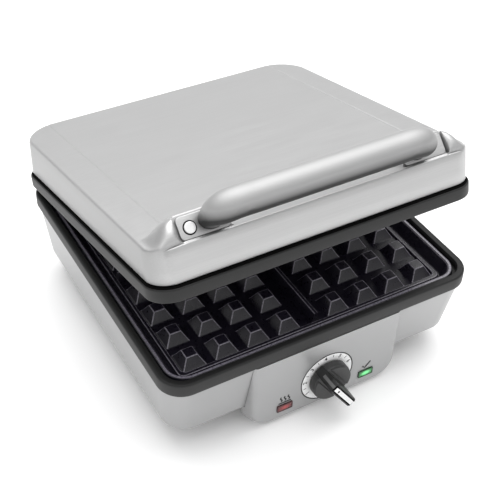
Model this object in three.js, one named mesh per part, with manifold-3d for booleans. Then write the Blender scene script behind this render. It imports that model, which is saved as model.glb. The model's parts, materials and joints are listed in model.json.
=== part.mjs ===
// Countertop waffle maker for four square waffles, standing free, lid propped part-way open.
// Millimetres, +Z up, front at -Y, X across. Heights are measured from the table top.
// Lid pieces are laid out as if the lid were shut, then swung as one group about the hinge line.
import * as THREE from 'three';
import { mergeGeometries, mergeVertices } from 'three/addons/utils/BufferGeometryUtils.js';
import Module from 'manifold-3d';

const wasm = await Module();
wasm.setup();

// ---- driving dimensions ----
const FOOTPRINT = 320; // width and depth over the two dark trims
const DEPTH_SHIFT = 6.17; // puts the middle of the overall depth on the origin
const CORNER_R = 23.7; // trim corner radius in plan
const GAP = 0.3; // working gap between neighbouring pieces
const FACETS = 4; // facets per rounded corner

const TRIM_Z = 83; // underside of the base trim above the table
const TRIM_H = 14; // height of the base trim
const TRIM_WALL = 7; // width of a trim's outer band
const LEDGE_IN = 10.8; // how far a trim's plate ledge reaches in from its outside
const LEDGE_H = 7.2; // height of that ledge
const PARTING = 1.5; // gap between the two trims when the lid is shut
const LID_TRIM_Z = TRIM_Z + TRIM_H + PARTING; // underside of the lid trim, shut
const LID_TRIM_H = 12.5;
const SEAM_H = 2.4; // shadow seam between lid trim and lid cover

const HINGE_Y = 158.8; // hinge line behind the plates
const HINGE_Z = TRIM_Z - 4.15;
const LID_OPEN_DEG = 14.63; // how far the lid stands open at rest
const HINGE_X = 95; // middle of each hinge, either side
const HINGE_HALF_W = 8; // half width of a lid arm
const BARREL_R = 6.5;
const PIN_R = 3;
const RUNNING = 0.1; // radial clearance of a running fit
const EAR_T = 3.2; // thickness of a hinge ear

const SHELL_TOP_INSET = 2.3; // housing wall inside the trim at its top
const SHELL_BOTTOM_Z = 26; // lower edge of the housing
const SHELL_EDGE_H = 2.4; // height of its rounded lower edge
const SHELL_BOTTOM_W = 305;
const SHELL_BOTTOM_D = 299.3;
const SHELL_WALL = 2.4;

const PLATE_RIM_HALF = 151; // half width over a plate's rim
const PLATE_RIM_Z = 11; // rim top above the trim's underside
const PLATE_FLOOR_Z = -1.3; // pocket floor
const PLATE_BOTTOM_Z = -5.3; // underside of the casting
const POCKET_PITCH = 31.6;
const PEG_BASE = 22.5; // foot of one pyramid peg
const PEG_TOP = 10.8; // flat top of one peg
const PEG_H = 10.2;
const PEGS_PER_SIDE = 4; // pegs along one side of one waffle
const WAFFLE_GAP = 21; // extra space between the two middle rows
const DIVIDER_TOP_Z = 10.6;
const DIVIDER_TOP_W = 3.4;
const DIVIDER_FOOT_W = 9;
const RIDGE_OUT = 138.4; // half width over the low ridge round the pegs
const RIDGE_IN = 133.9;
const RIDGE_H = 2.4;
const UPPER_FLIP_Z = 27; // a lower-plate height h lands at this minus h in the lid

const COVER_INSET = 2.7; // lid cover inside the trims
const COVER_R = 21;
const COVER_REAR_R = 33; // the rear corners open out to this radius at the top
const COVER_T = 1.5;
const TOP_SLOPE = 0.0223; // rise of the lid's top towards the hinge, per mm
const TOP_Z = 66; // lid top above the base trim's underside, at mid depth
const TOP_HALF_X = 128.3; // side creases of the flat top
const SIDE_CREASE_Z = 64.4; // the side facets fall to this at the walls

const BAR_Y = -142.5; // rounded bar formed in each front corner of the cover
const BAR_Z = 65.1;
const BAR_R = 14.5;
const BAR_X0 = 82;
const BAR_X1 = 151;
const FACET_DEG = 32; // how far the lug faces tip up from level
const FACET_D = 8; // lug face from the bar's axis
const LUG_X0 = 84;
const LUG_X1 = 128.5;
const LUG_LOW = -8.3; // lug pocket's lower edge, along the face from the bar's axis
const LUG_HIGH = 11.4; // lug's upper edge, the same way
const LUG_R = 4;
const BUTTON_X = 118.5;
const BUTTON_UP = 0.8; // button centre, the same way
const BUTTON_R = 5;

const GRIP_R = 13.2;
const GRIP_Y = -165;
const GRIP_Z = 87;
const GRIP_END_X = 97;

const PANEL_Y = -160; // face of the control panel
const PANEL_HALF = 82; // half width where the panel meets the housing
const PANEL_FACE_HALF = 75.8;
const PANEL_BOTTOM_Z = 3.6;
const PANEL_R = 19;
const PANEL_WALL = 2.4;
const PANEL_DEPTH = 14;
const DIAL_Z = TRIM_Z - 47;
const DIAL_R = 28.2;
const DIAL_SINK = 0.9;
const KNOB_R = 19.8;
const KNOB_PROUD = 10.5; // knob face from the panel face
const BLADE_FRONT_Y = -188;
const BLADE_W = 9.6;
const BLADE_HALF = 20.5;
const POINTER_DEG = 124.5; // pointer direction seen from the front, from +X
const SHAFT_R = 3;
const LENS_X = 44.5;
const LENS_Z = TRIM_Z - 65;
const LENS_W = 16;
const LENS_H = 8;

const HEATER_R = 3.3;
const HEATER_HALF = 104;
const FOOT_X = 105;
const FOOT_Y = 98;

// ---- colours ----
const LOOKS = {
  silver: { color: 0xb4b5b7, roughness: 0.45, metalness: 0.6 },
  stainless: { color: 0xcfd0d1, roughness: 0.32, metalness: 1 },
  trim: { color: 0x4a4a4b, roughness: 0.5, metalness: 0 },
  coating: { color: 0x232127, roughness: 0.3, metalness: 0.2 },
  black: { color: 0x1b1b1c, roughness: 0.55, metalness: 0 },
  rubber: { color: 0x161616, roughness: 0.85, metalness: 0 },
  steel: { color: 0x9fa1a4, roughness: 0.35, metalness: 1 },
  bright: { color: 0xe4e5e6, roughness: 0.12, metalness: 1 },
  aluminised: { color: 0xb9babb, roughness: 0.4, metalness: 1 },
  heater: { color: 0x4c4a48, roughness: 0.6, metalness: 0.7 },
  ceramic: { color: 0xe6dfd0, roughness: 0.5, metalness: 0 },
  board: { color: 0x8a6a3a, roughness: 0.6, metalness: 0 },
  red: { color: 0x9c2a2c, roughness: 0.2, metalness: 0 },
  green: { color: 0x4fd26a, roughness: 0.2, metalness: 0 },
  glass: { color: 0xd8c8b8, roughness: 0.1, metalness: 0 },
};

// ---- geometry helpers ----
const X_AXIS = new THREE.Vector3(1, 0, 0);
const Y_AXIS = new THREE.Vector3(0, 1, 0);
const Z_AXIS = new THREE.Vector3(0, 0, 1);

function solid(geometry) {
  const bare = geometry.clone();
  bare.deleteAttribute('normal');
  bare.deleteAttribute('uv');
  const merged = mergeVertices(bare, 1e-4);
  const vertProperties = new Float32Array(merged.attributes.position.array);
  const triVerts = new Uint32Array(merged.index.array);
  return new wasm.Manifold(new wasm.Mesh({ numProp: 3, vertProperties, triVerts }));
}

function geometryOf(manifold) {
  const mesh = manifold.getMesh();
  const geometry = new THREE.BufferGeometry();
  geometry.setAttribute('position', new THREE.BufferAttribute(new Float32Array(mesh.vertProperties), 3));
  geometry.setIndex(new THREE.BufferAttribute(new Uint32Array(mesh.triVerts), 1));
  geometry.computeVertexNormals();
  return geometry;
}

function build(first, { add = [], cut = [], keep = [] } = {}) {
  let body = solid(first);
  for (const extra of add) body = body.add(solid(extra));
  for (const mask of keep) body = body.intersect(solid(mask));
  for (const hole of cut) body = body.subtract(solid(hole));
  return geometryOf(body);
}

function box(x0, x1, y0, y1, z0, z1) {
  const geometry = new THREE.BoxGeometry(x1 - x0, y1 - y0, z1 - z0);
  return geometry.translate((x0 + x1) / 2, (y0 + y1) / 2, (z0 + z1) / 2);
}

function rounded(w, h, r, cx = 0, cy = 0) {
  const a = w / 2 - r;
  const b = h / 2 - r;
  const shape = new THREE.Shape();
  shape.absarc(cx + a, cy + b, r, 0, Math.PI / 2, false);
  shape.absarc(cx - a, cy + b, r, Math.PI / 2, Math.PI, false);
  shape.absarc(cx - a, cy - b, r, Math.PI, 1.5 * Math.PI, false);
  shape.absarc(cx + a, cy - b, r, 1.5 * Math.PI, 2 * Math.PI, false);
  return shape;
}

function extrude(shape, depth, facets = FACETS, steps = 1) {
  return new THREE.ExtrudeGeometry(shape, { depth, steps, bevelEnabled: false, curveSegments: facets });
}

// A stack of rounded rectangles, each level giving its height, width, depth and corner radius,
// and where they differ the radius of its two rear corners.
function loft(levels, facets = FACETS) {
  const base = levels[0];
  const steps = levels.length - 1;
  const geometry = extrude(rounded(base.w, base.d, base.r), steps, facets, steps);
  const p = geometry.attributes.position;
  const a = base.w / 2 - base.r;
  const b = base.d / 2 - base.r;
  for (let i = 0; i < p.count; i += 1) {
    const level = levels[Math.round(p.getZ(i))];
    const r = p.getY(i) > 0 && level.rear ? level.rear : level.r;
    const cx = THREE.MathUtils.clamp(p.getX(i), -a, a);
    const cy = THREE.MathUtils.clamp(p.getY(i), -b, b);
    const grow = r / base.r;
    const x = cx * ((level.w / 2 - r) / a) + (p.getX(i) - cx) * grow;
    const y = cy * ((level.d / 2 - r) / b) + (p.getY(i) - cy) * grow;
    p.setXYZ(i, x, y, level.z);
  }
  return geometry;
}

function square(z, half, r) {
  return { z, w: 2 * half, d: 2 * half, r };
}

function prismX(points, x0, x1) {
  const geometry = extrude(new THREE.Shape(points.map(([y, z]) => new THREE.Vector2(y, z))), x1 - x0);
  geometry.applyMatrix4(new THREE.Matrix4().makeBasis(Y_AXIS, Z_AXIS, X_AXIS));
  return geometry.translate(x0, 0, 0);
}

function shapeY(shape, y0, y1, facets = FACETS) {
  const geometry = extrude(shape, y1 - y0, facets);
  geometry.applyMatrix4(new THREE.Matrix4().makeBasis(X_AXIS, Z_AXIS, Y_AXIS.clone().negate()));
  return geometry.translate(0, y1, 0);
}

function prismY(points, y0, y1) {
  return shapeY(new THREE.Shape(points.map(([x, z]) => new THREE.Vector2(x, z))), y0, y1);
}

function rod(axis, r, from, to, c1, c2, sides = 16) {
  const geometry = new THREE.CylinderGeometry(r, r, to - from, sides);
  const mid = (from + to) / 2;
  if (axis === 'x') return geometry.rotateZ(-Math.PI / 2).translate(mid, c1, c2);
  if (axis === 'y') return geometry.translate(c1, mid, c2);
  return geometry.rotateX(Math.PI / 2).translate(c1, c2, mid);
}

// Turned piece standing on +Z, from [radius, height] points that start and end on the axis.
function turned(points, sides = 16) {
  const geometry = new THREE.LatheGeometry(points.map(([r, h]) => new THREE.Vector2(r, h)), sides);
  return geometry.rotateX(Math.PI / 2);
}

function tube(points, r, steps, sides = 8, tension = 0.5) {
  const stops = points.map((q) => new THREE.Vector3(...q));
  const curve = new THREE.CatmullRomCurve3(stops, false, 'catmullrom', tension);
  const ring = new THREE.Shape();
  ring.absarc(0, 0, r, 0, 2 * Math.PI, false);
  const options = { steps, extrudePath: curve, bevelEnabled: false, curveSegments: sides };
  return new THREE.ExtrudeGeometry(ring, options);
}

function grid(xs, ys, make) {
  return mergeGeometries(xs.flatMap((x) => ys.map((y) => make(x, y))));
}

const machine = new THREE.Group();
machine.position.y = DEPTH_SHIFT;
const lid = new THREE.Group();
lid.position.set(0, HINGE_Y, HINGE_Z);
lid.rotation.x = THREE.MathUtils.degToRad(-LID_OPEN_DEG);
const lidShut = new THREE.Group();
lidShut.position.set(0, -HINGE_Y, -HINGE_Z);
lid.add(lidShut);
machine.add(lid);

function put(group, name, geometry, look) {
  const mesh = new THREE.Mesh(geometry, new THREE.MeshStandardMaterial(LOOKS[look]));
  mesh.name = name;
  group.add(mesh);
  return mesh;
}

const HALF = FOOTPRINT / 2;
const SIDES = [-1, 1];
const SIDE_NAME = { '-1': 'left', 1: 'right' };
const ENDS = [[-1, 'front'], [1, 'rear']];
const NOTCH_HALF_W = HINGE_HALF_W + EAR_T + 2.3;
const hingeNotches = SIDES.map((s) => box(
  s * HINGE_X - NOTCH_HALF_W,
  s * HINGE_X + NOTCH_HALF_W,
  HALF - TRIM_WALL + 0.1,
  HALF + 4,
  HINGE_Z - BARREL_R - 2,
  TRIM_Z + TRIM_H + 1,
));

// ---- base shell ----
const wallTopHalf = HALF - SHELL_TOP_INSET;
function shellLevels(grow, z0, z1) {
  const low = { z: SHELL_BOTTOM_Z + SHELL_EDGE_H, w: SHELL_BOTTOM_W, d: SHELL_BOTTOM_D, r: 24.5 };
  const high = { z: TRIM_Z - GAP, w: 2 * wallTopHalf, d: 2 * wallTopHalf, r: 22 };
  const at = (z, inset) => {
    const t = (z - low.z) / (high.z - low.z);
    const mix = (key) => low[key] + (high[key] - low[key]) * t + 2 * grow - 2 * inset;
    return { z, w: mix('w'), d: mix('d'), r: 23 + grow - inset };
  };
  return [at(z0, 1.8), at(z0 + SHELL_EDGE_H / 3, 0.6), at(z0 + SHELL_EDGE_H, 0), at(z1, 0)];
}
const shellOuter = loft(shellLevels(0, SHELL_BOTTOM_Z, TRIM_Z - GAP));
const shellInner = loft(shellLevels(-SHELL_WALL, SHELL_BOTTOM_Z - 2, TRIM_Z + 2));
const panelWindow = box(-70, 70, -165, -140, SHELL_BOTTOM_Z - 2, TRIM_Z - 8);
const releaseHole = { y: -96, z: TRIM_Z - 23, r: 7.4 };
const inlet = { x: 118, z: TRIM_Z - 36, r: 8 };
put(machine, 'base_housing', build(shellOuter, {
  cut: [
    shellInner,
    panelWindow,
    ...hingeNotches,
    rod('x', releaseHole.r, 140, 170, releaseHole.y, releaseHole.z, 20),
    rod('y', inlet.r + GAP, 140, 170, inlet.x, inlet.z, 20),
  ],
}), 'silver');

// ---- base trim: a band with a ledge that carries the plate ----
const trimShape = loft([
  square(TRIM_Z, HALF - 0.8, CORNER_R - 0.8),
  square(TRIM_Z + 1, HALF, CORNER_R),
  square(TRIM_Z + TRIM_H - 1, HALF, CORNER_R),
  square(TRIM_Z + TRIM_H, HALF - 0.9, CORNER_R - 0.9),
]);
const trimWell = loft([
  square(TRIM_Z + LEDGE_H, HALF - TRIM_WALL, CORNER_R - 3),
  square(TRIM_Z + TRIM_H + 1, HALF - TRIM_WALL, CORNER_R - 3),
]);
const trimHole = loft([
  square(TRIM_Z - 1, HALF - LEDGE_IN, CORNER_R - 5),
  square(TRIM_Z + TRIM_H + 1, HALF - LEDGE_IN, CORNER_R - 5),
]);
put(machine, 'base_trim', build(trimShape, { cut: [trimWell, trimHole, ...hingeNotches] }), 'trim');

// ---- waffle plates: heights are from the trim's underside, face up ----
const pegCentres = [];
for (let i = 0; i < 2 * PEGS_PER_SIDE; i += 1) {
  const side = i < PEGS_PER_SIDE ? -1 : 1;
  pegCentres.push((i - PEGS_PER_SIDE + 0.5) * POCKET_PITCH + side * (WAFFLE_GAP / 2));
}
const ROOT = 0.5; // how far raised shapes run down into the casting

function peg(x, y) {
  const growth = (PEG_BASE - PEG_TOP) / PEG_H;
  const foot = PEG_BASE + growth * ROOT;
  const geometry = new THREE.CylinderGeometry(PEG_TOP / Math.SQRT2, foot / Math.SQRT2, PEG_H + ROOT, 4);
  geometry.rotateY(Math.PI / 4).rotateX(Math.PI / 2);
  return geometry.translate(x, y, PLATE_FLOOR_Z + (PEG_H - ROOT) / 2);
}

const RIM_UNDER = 3.5; // thickness of the plate's rim flange

function plateCasting(catchTab, catchNotch) {
  const outer = loft([
    square(PLATE_BOTTOM_Z, 141.5, 11),
    square(PLATE_BOTTOM_Z + 2.3, 144, 13),
    square(PLATE_RIM_Z - RIM_UNDER - 0.1, 148.4, 17),
    square(PLATE_RIM_Z - RIM_UNDER, PLATE_RIM_HALF, 20),
    square(PLATE_RIM_Z, PLATE_RIM_HALF, 20),
  ]);
  const well = loft([
    square(PLATE_FLOOR_Z, 140.5, 10),
    square(PLATE_RIM_Z, 147, 16),
    square(PLATE_RIM_Z + 2, 148, 17),
  ]);
  const dividerPoints = [
    [-DIVIDER_FOOT_W / 2, PLATE_FLOOR_Z - ROOT],
    [DIVIDER_FOOT_W / 2, PLATE_FLOOR_Z - ROOT],
    [DIVIDER_TOP_W / 2, DIVIDER_TOP_Z],
    [-DIVIDER_TOP_W / 2, DIVIDER_TOP_Z],
  ];
  const ridge = build(loft([
    square(PLATE_FLOOR_Z - ROOT, RIDGE_OUT + 0.6, 6),
    square(PLATE_FLOOR_Z + RIDGE_H, RIDGE_OUT - 0.6, 5.4),
  ], 3), {
    cut: [loft([
      square(PLATE_FLOOR_Z - 1, RIDGE_IN - 0.6, 2),
      square(PLATE_FLOOR_Z + RIDGE_H + 1, RIDGE_IN + 0.6, 3),
    ], 3)],
  });
  const basin = build(outer, { cut: [well] });
  return build(basin, {
    add: [
      grid(pegCentres, pegCentres, peg),
      ridge,
      prismY(dividerPoints, -RIDGE_IN - 0.4, RIDGE_IN + 0.4),
      prismX(dividerPoints, -RIDGE_IN - 0.4, RIDGE_IN + 0.4),
      catchTab,
    ],
    cut: [catchNotch],
  });
}

// Catch tabs stand on the back of each casting, outside the heater, with a notch on their inner face.
const TAB_T = 4;
const TAB_HALF_W = 7;
const TAB_Z = -13; // free end of a tab
const NOTCH_Z = [-11.2, -7];
const NOSE_Z = [-10.4, -8.6];
const LOWER_CATCH_Y = -96;
const UPPER_CATCH_X = -BUTTON_X;
const TAB_OUT = 144;
const TAB_ROOT_Z = PLATE_BOTTOM_Z + 3; // tabs run up into the casting
const lowerTab = box(
  TAB_OUT - TAB_T, TAB_OUT, LOWER_CATCH_Y - TAB_HALF_W, LOWER_CATCH_Y + TAB_HALF_W, TAB_Z, TAB_ROOT_Z,
);
const lowerNotch = box(
  TAB_OUT - TAB_T - 1, TAB_OUT - 2, LOWER_CATCH_Y - 5, LOWER_CATCH_Y + 5, NOTCH_Z[0], NOTCH_Z[1],
);
// The upper plate is the same casting turned over about Y, so its tab is drawn at the mirrored X.
const upperTab = box(
  -UPPER_CATCH_X - TAB_HALF_W, -UPPER_CATCH_X + TAB_HALF_W, -TAB_OUT, -TAB_OUT + TAB_T, TAB_Z, TAB_ROOT_Z,
);
const upperNotch = box(
  -UPPER_CATCH_X - 5, -UPPER_CATCH_X + 5, -TAB_OUT + 2, -TAB_OUT + TAB_T + 1, NOTCH_Z[0], NOTCH_Z[1],
);
const flipUp = (geometry) => geometry.rotateY(Math.PI).translate(0, 0, TRIM_Z + UPPER_FLIP_Z);
put(machine, 'lower_plate', plateCasting(lowerTab, lowerNotch).translate(0, 0, TRIM_Z), 'coating');
put(lidShut, 'upper_plate', flipUp(plateCasting(upperTab, upperNotch)), 'coating');

// ---- heaters and heat reflectors, the same in base and lid ----
const HEATER_Z = PLATE_BOTTOM_Z - GAP - HEATER_R;
const LEG_X = 14; // heater legs, either side of the middle
const LEG_Y = HEATER_HALF - 28;
function heaterLoop() {
  const h = HEATER_HALF;
  const half = [
    [LEG_X, LEG_Y, HEATER_Z - 13], [LEG_X, LEG_Y, HEATER_Z - 6], [LEG_X + 0.5, LEG_Y + 5, HEATER_Z - 1],
    [LEG_X + 4, h - 8, HEATER_Z], [40, h, HEATER_Z], [h - 12, h, HEATER_Z], [h, h - 12, HEATER_Z],
    [h, 0, HEATER_Z], [h, -h + 12, HEATER_Z], [h - 12, -h, HEATER_Z],
  ];
  const mirrored = half.map(([x, y, z]) => [-x, y, z]).reverse();
  return tube([...half, [0, -h, HEATER_Z], ...mirrored], HEATER_R, 50, 3, 0.3);
}
const REFLECTOR_Z = HEATER_Z - HEATER_R - 2;
const SHEET = 1;
function reflector(tabGap) {
  const bowl = loft([
    square(REFLECTOR_Z - SHEET, 129, 12),
    square(PLATE_BOTTOM_Z - 1.3, 132, 14),
    square(PLATE_BOTTOM_Z - 1.25, 148.4, 16),
    square(-1.35, 148.4, 17),
    square(-1.3, 151, 19),
    square(-GAP, 151, 19),
  ]);
  const hollow = loft([
    square(REFLECTOR_Z, 128, 11),
    square(PLATE_BOTTOM_Z - GAP - 0.05, 131, 13),
    square(PLATE_BOTTOM_Z - GAP, 147.4, 15),
    square(TRIM_H, 147.4, 15),
  ]);
  const legHoles = SIDES.map((s) => rod(
    'z', HEATER_R + 2.4, REFLECTOR_Z - 4, REFLECTOR_Z + 3, s * LEG_X, LEG_Y + 1.5, 12,
  ));
  return build(bowl, { cut: [hollow, tabGap, ...legHoles] });
}
const SLOT_HALF_W = TAB_HALF_W + 3; // the catch tabs reach through the reflector here
const SLOT_IN = 12;
const SLOT_LOW = -14;
const SLOT_HIGH = -3;
const lowerSlot = box(
  TAB_OUT - SLOT_IN, TAB_OUT + 1, LOWER_CATCH_Y - SLOT_HALF_W, LOWER_CATCH_Y + SLOT_HALF_W,
  SLOT_LOW, SLOT_HIGH,
);
const upperSlot = box(
  -UPPER_CATCH_X - SLOT_HALF_W, -UPPER_CATCH_X + SLOT_HALF_W, -TAB_OUT - 1, -TAB_OUT + SLOT_IN,
  SLOT_LOW, SLOT_HIGH,
);
put(machine, 'lower_heater', heaterLoop().translate(0, 0, TRIM_Z), 'heater');
put(machine, 'lower_reflector', reflector(lowerSlot).translate(0, 0, TRIM_Z), 'aluminised');
put(lidShut, 'upper_heater', flipUp(heaterLoop()), 'heater');
put(lidShut, 'upper_reflector', flipUp(reflector(upperSlot)), 'aluminised');
const FUSE = { x: 60, y: 20, halfL: 9, halfW: 3, tall: 5, leadHalf: 15, leadR: 1.2 };
function fuse() {
  return build(box(-FUSE.halfL, FUSE.halfL, -FUSE.halfW, FUSE.halfW, 0, FUSE.tall), {
    add: [rod('x', FUSE.leadR, -FUSE.leadHalf, FUSE.leadHalf, 0, FUSE.tall / 2, 8)],
  });
}
const lowerFuseZ = TRIM_Z + REFLECTOR_Z - SHEET - GAP - FUSE.tall;
const upperFuseZ = TRIM_Z + UPPER_FLIP_Z - REFLECTOR_Z + SHEET + GAP;
put(machine, 'lower_thermal_fuse', fuse().translate(FUSE.x, FUSE.y, lowerFuseZ), 'ceramic');
put(lidShut, 'upper_thermal_fuse', fuse().translate(FUSE.x, FUSE.y, upperFuseZ), 'ceramic');

// ---- base cover, feet and screws ----
const COVER_FLOOR_Z = 9;
const COVER_SHEET = 2.4;
const coverRise = SHELL_BOTTOM_Z + 1.6;
const SCREW_X = 118;
const SCREW_Y = 112;
const screwSpots = SIDES.flatMap((x) => SIDES.map((y) => [x * SCREW_X, y * SCREW_Y]));
const ventXs = [-48, -24, 0, 24, 48];
const vents = grid(ventXs, [-40, 40], (x, y) => box(x - 3, x + 3, y - 26, y + 26, 0, 20));
const PAN_W = 262;
const PAN_D = 250;
const PAN_DRAFT = 8;
const FLANGE_W = SHELL_BOTTOM_W - 9;
const FLANGE_D = SHELL_BOTTOM_D - 9;
const FLANGE_R = 19;
// The solid pan runs out into a flange; the hollow cut from it runs straight up through that flange.
function pan(w, d, r, t) {
  const lipW = t ? w + 0.2 : FLANGE_W;
  const lipD = t ? d + 0.2 : FLANGE_D;
  return loft([
    { z: COVER_FLOOR_Z + t, w: w - PAN_DRAFT, d: d - PAN_DRAFT, r },
    { z: coverRise - 1 + t, w, d, r: r + 2 },
    { z: coverRise - 0.95 + t, w: lipW, d: lipD, r: FLANGE_R },
    { z: coverRise + (t ? 2 : 1), w: lipW, d: lipD, r: FLANGE_R },
  ]);
}
const panelNotch = box(-32, 32, -150, -127, COVER_FLOOR_Z + 15, coverRise + 4);
put(machine, 'base_cover', build(pan(PAN_W, PAN_D, 20, 0), {
  cut: [
    pan(PAN_W - 2 * COVER_SHEET, PAN_D - 2 * COVER_SHEET, 18, COVER_SHEET),
    vents,
    panelNotch,
    grid([-FOOT_X, FOOT_X], [-FOOT_Y, FOOT_Y], (x, y) => rod('z', 4 + GAP, 0, 20, x, y, 12)),
    ...screwSpots.map(([x, y]) => rod('z', 1.9, 0, 40, x, y, 10)),
  ],
}), 'black');
const footProfile = [
  [0, 0], [10, 0], [11.5, 1.2], [12, COVER_FLOOR_Z - GAP], [4, COVER_FLOOR_Z - GAP],
  [4, COVER_FLOOR_Z + COVER_SHEET + GAP], [5.4, COVER_FLOOR_Z + COVER_SHEET + GAP],
  [4.4, COVER_FLOOR_Z + COVER_SHEET + 2.4], [0, COVER_FLOOR_Z + COVER_SHEET + 2.4],
];
for (const sx of SIDES) {
  for (const [sy, end] of ENDS) {
    const foot = turned(footProfile, 16).translate(sx * FOOT_X, sy * FOOT_Y, 0);
    put(machine, `foot_${end}_${SIDE_NAME[sx]}`, foot, 'rubber');
  }
}
const screwProfile = [
  [0, COVER_FLOOR_Z - 2.1], [2.6, COVER_FLOOR_Z - 2], [3.2, COVER_FLOOR_Z - 1.2], [3.2, COVER_FLOOR_Z - GAP],
  [1.6, COVER_FLOOR_Z - GAP], [1.6, COVER_FLOOR_Z + 14], [0, COVER_FLOOR_Z + 15],
];
for (const sx of SIDES) {
  for (const [sy, end] of ENDS) {
    const screw = turned(screwProfile, 10).translate(sx * SCREW_X, sy * SCREW_Y, 0);
    put(machine, `cover_screw_${end}_${SIDE_NAME[sx]}`, screw, 'steel');
  }
}

const WALL_REAR_Y = 154.2; // clear of the sloping rear wall
const inletProfile = [
  [3.4, -9], [inlet.r - 0.1, -9], [inlet.r - 0.1, 0], [11, 0], [11, 2.2], [9.6, 3.4], [3.4, 3.4], [3.4, -9],
];
put(machine, 'cord_inlet', turned(inletProfile, 20).rotateX(-Math.PI / 2)
  .translate(inlet.x, WALL_REAR_Y, inlet.z), 'black');
const blockFoot = COVER_FLOOR_Z + COVER_SHEET + GAP;
put(machine, 'terminal_block', build(box(58, 90, 88, 100, blockFoot, blockFoot + 13), {
  cut: [-10, 0, 10].map((x) => rod('z', 2.2, blockFoot + 6, blockFoot + 20, 74 + x, 94, 10)),
}), 'ceramic');

// ---- control panel, dial and indicator windows ----
function panelForm(inset, y0, y1) {
  const half = PANEL_FACE_HALF - inset;
  const low = PANEL_BOTTOM_Z + inset;
  const r = PANEL_R - inset;
  const shape = new THREE.Shape();
  shape.moveTo(half, TRIM_Z - GAP);
  shape.lineTo(-half, TRIM_Z - GAP);
  shape.lineTo(-half, low + r);
  shape.absarc(-half + r, low + r, r, Math.PI, 1.5 * Math.PI, false);
  shape.lineTo(half - r, low);
  shape.absarc(half - r, low + r, r, 1.5 * Math.PI, 2 * Math.PI, false);
  const geometry = shapeY(shape, y0, y1);
  const p = geometry.attributes.position;
  const flare = (PANEL_HALF - PANEL_FACE_HALF) / PANEL_DEPTH;
  for (let i = 0; i < p.count; i += 1) {
    p.setX(i, p.getX(i) * (1 + (flare * (p.getY(i) - PANEL_Y)) / PANEL_FACE_HALF));
  }
  return geometry;
}
const shellKeepOut = loft(shellLevels(GAP, SHELL_BOTTOM_Z - 0.3, TRIM_Z + 2));
put(machine, 'control_panel', build(panelForm(0, PANEL_Y, PANEL_Y + PANEL_DEPTH), {
  cut: [
    panelForm(PANEL_WALL, PANEL_Y + PANEL_WALL, PANEL_Y + PANEL_DEPTH + 2),
    shellKeepOut,
    rod('y', DIAL_R, PANEL_Y - 2, PANEL_Y + DIAL_SINK, 0, DIAL_Z, 40),
    rod('y', SHAFT_R + 2.2, PANEL_Y - 2, PANEL_Y + 6, 0, DIAL_Z, 16),
    ...SIDES.map((s) => box(
      s * LENS_X - LENS_W / 2, s * LENS_X + LENS_W / 2, PANEL_Y - 2, PANEL_Y + 6,
      LENS_Z - LENS_H / 2, LENS_Z + LENS_H / 2,
    )),
  ],
}), 'silver');
const ring = rod('y', DIAL_R - GAP, PANEL_Y - 0.2, PANEL_Y + DIAL_SINK - GAP, 0, DIAL_Z, 40);
put(machine, 'dial_scale', build(ring, {
  cut: [rod('y', SHAFT_R + 2.2, PANEL_Y - 2, PANEL_Y + 6, 0, DIAL_Z, 16)],
}), 'bright');
const LENS_PROUD = 1;
const LENS_LIP = 1.5; // how far the flange behind the panel reaches past the window
function lens() {
  const back = PANEL_Y + PANEL_WALL;
  const halfW = LENS_W / 2;
  const halfH = LENS_H / 2;
  const window = box(-halfW + GAP, halfW - GAP, PANEL_Y - LENS_PROUD, back + GAP, -halfH + GAP, halfH - GAP);
  const lipW = halfW + LENS_LIP;
  const lipH = halfH + LENS_LIP;
  const flange = box(-lipW, lipW, back + GAP, back + 2, -lipH, lipH);
  return build(window, { add: [flange] });
}
put(machine, 'red_lens', lens().translate(-LENS_X, 0, LENS_Z), 'red');
put(machine, 'green_lens', lens().translate(LENS_X, 0, LENS_Z), 'green');
const lampProfile = [[0, 0], [2, 0], [2, 5], [1.4, 6.4], [0, 7]];
const LAMP_BACK_Y = PANEL_Y + 12.5;
for (const [s, name] of [[-1, 'red_lamp'], [1, 'green_lamp']]) {
  const lamp = turned(lampProfile, 10).rotateX(Math.PI / 2);
  put(machine, name, lamp.translate(s * LENS_X, LAMP_BACK_Y, LENS_Z), 'glass');
}
const BOARD = { halfW: 58, front: LAMP_BACK_Y + GAP, t: 1.6, low: LENS_Z - 6, high: LENS_Z + 5.4 };
put(machine, 'lamp_board', build(box(
  -BOARD.halfW, BOARD.halfW, BOARD.front, BOARD.front + BOARD.t, BOARD.low, BOARD.high,
)), 'board');

// ---- thermostat, its shaft, and the knob ----
const STAT_Y = -131;
const STAT_R = 12;
const STAT_NECK_R = 5.5;
const STAT_BODY = 15; // length of its body, then the neck in front
const STAT_LONG = 22;
const SHAFT_BORE = 6; // the shaft's bore stops this far from the back
const statProfile = [
  [0, 0], [STAT_R, 0], [STAT_R, STAT_BODY], [STAT_NECK_R, STAT_BODY], [STAT_NECK_R, STAT_LONG],
  [SHAFT_R + RUNNING, STAT_LONG], [SHAFT_R + RUNNING, SHAFT_BORE], [0, SHAFT_BORE],
];
const facingFront = (geometry) => geometry.rotateX(Math.PI / 2);
put(machine, 'thermostat', facingFront(turned(statProfile, 20)).translate(0, STAT_Y, DIAL_Z), 'ceramic');
const bracketY = STAT_Y - STAT_BODY - GAP;
const BRACKET_HALF = 25;
const BRACKET_T = 1.4;
const BRACKET_LOW = DIAL_Z - 8;
const BRACKET_HIGH = DIAL_Z + 9;
const bracketLegs = SIDES.map((s) => box(
  s * BRACKET_HALF - BRACKET_T / 2, s * BRACKET_HALF + BRACKET_T / 2, PANEL_Y + PANEL_WALL + GAP, bracketY,
  BRACKET_LOW, BRACKET_HIGH,
));
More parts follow.
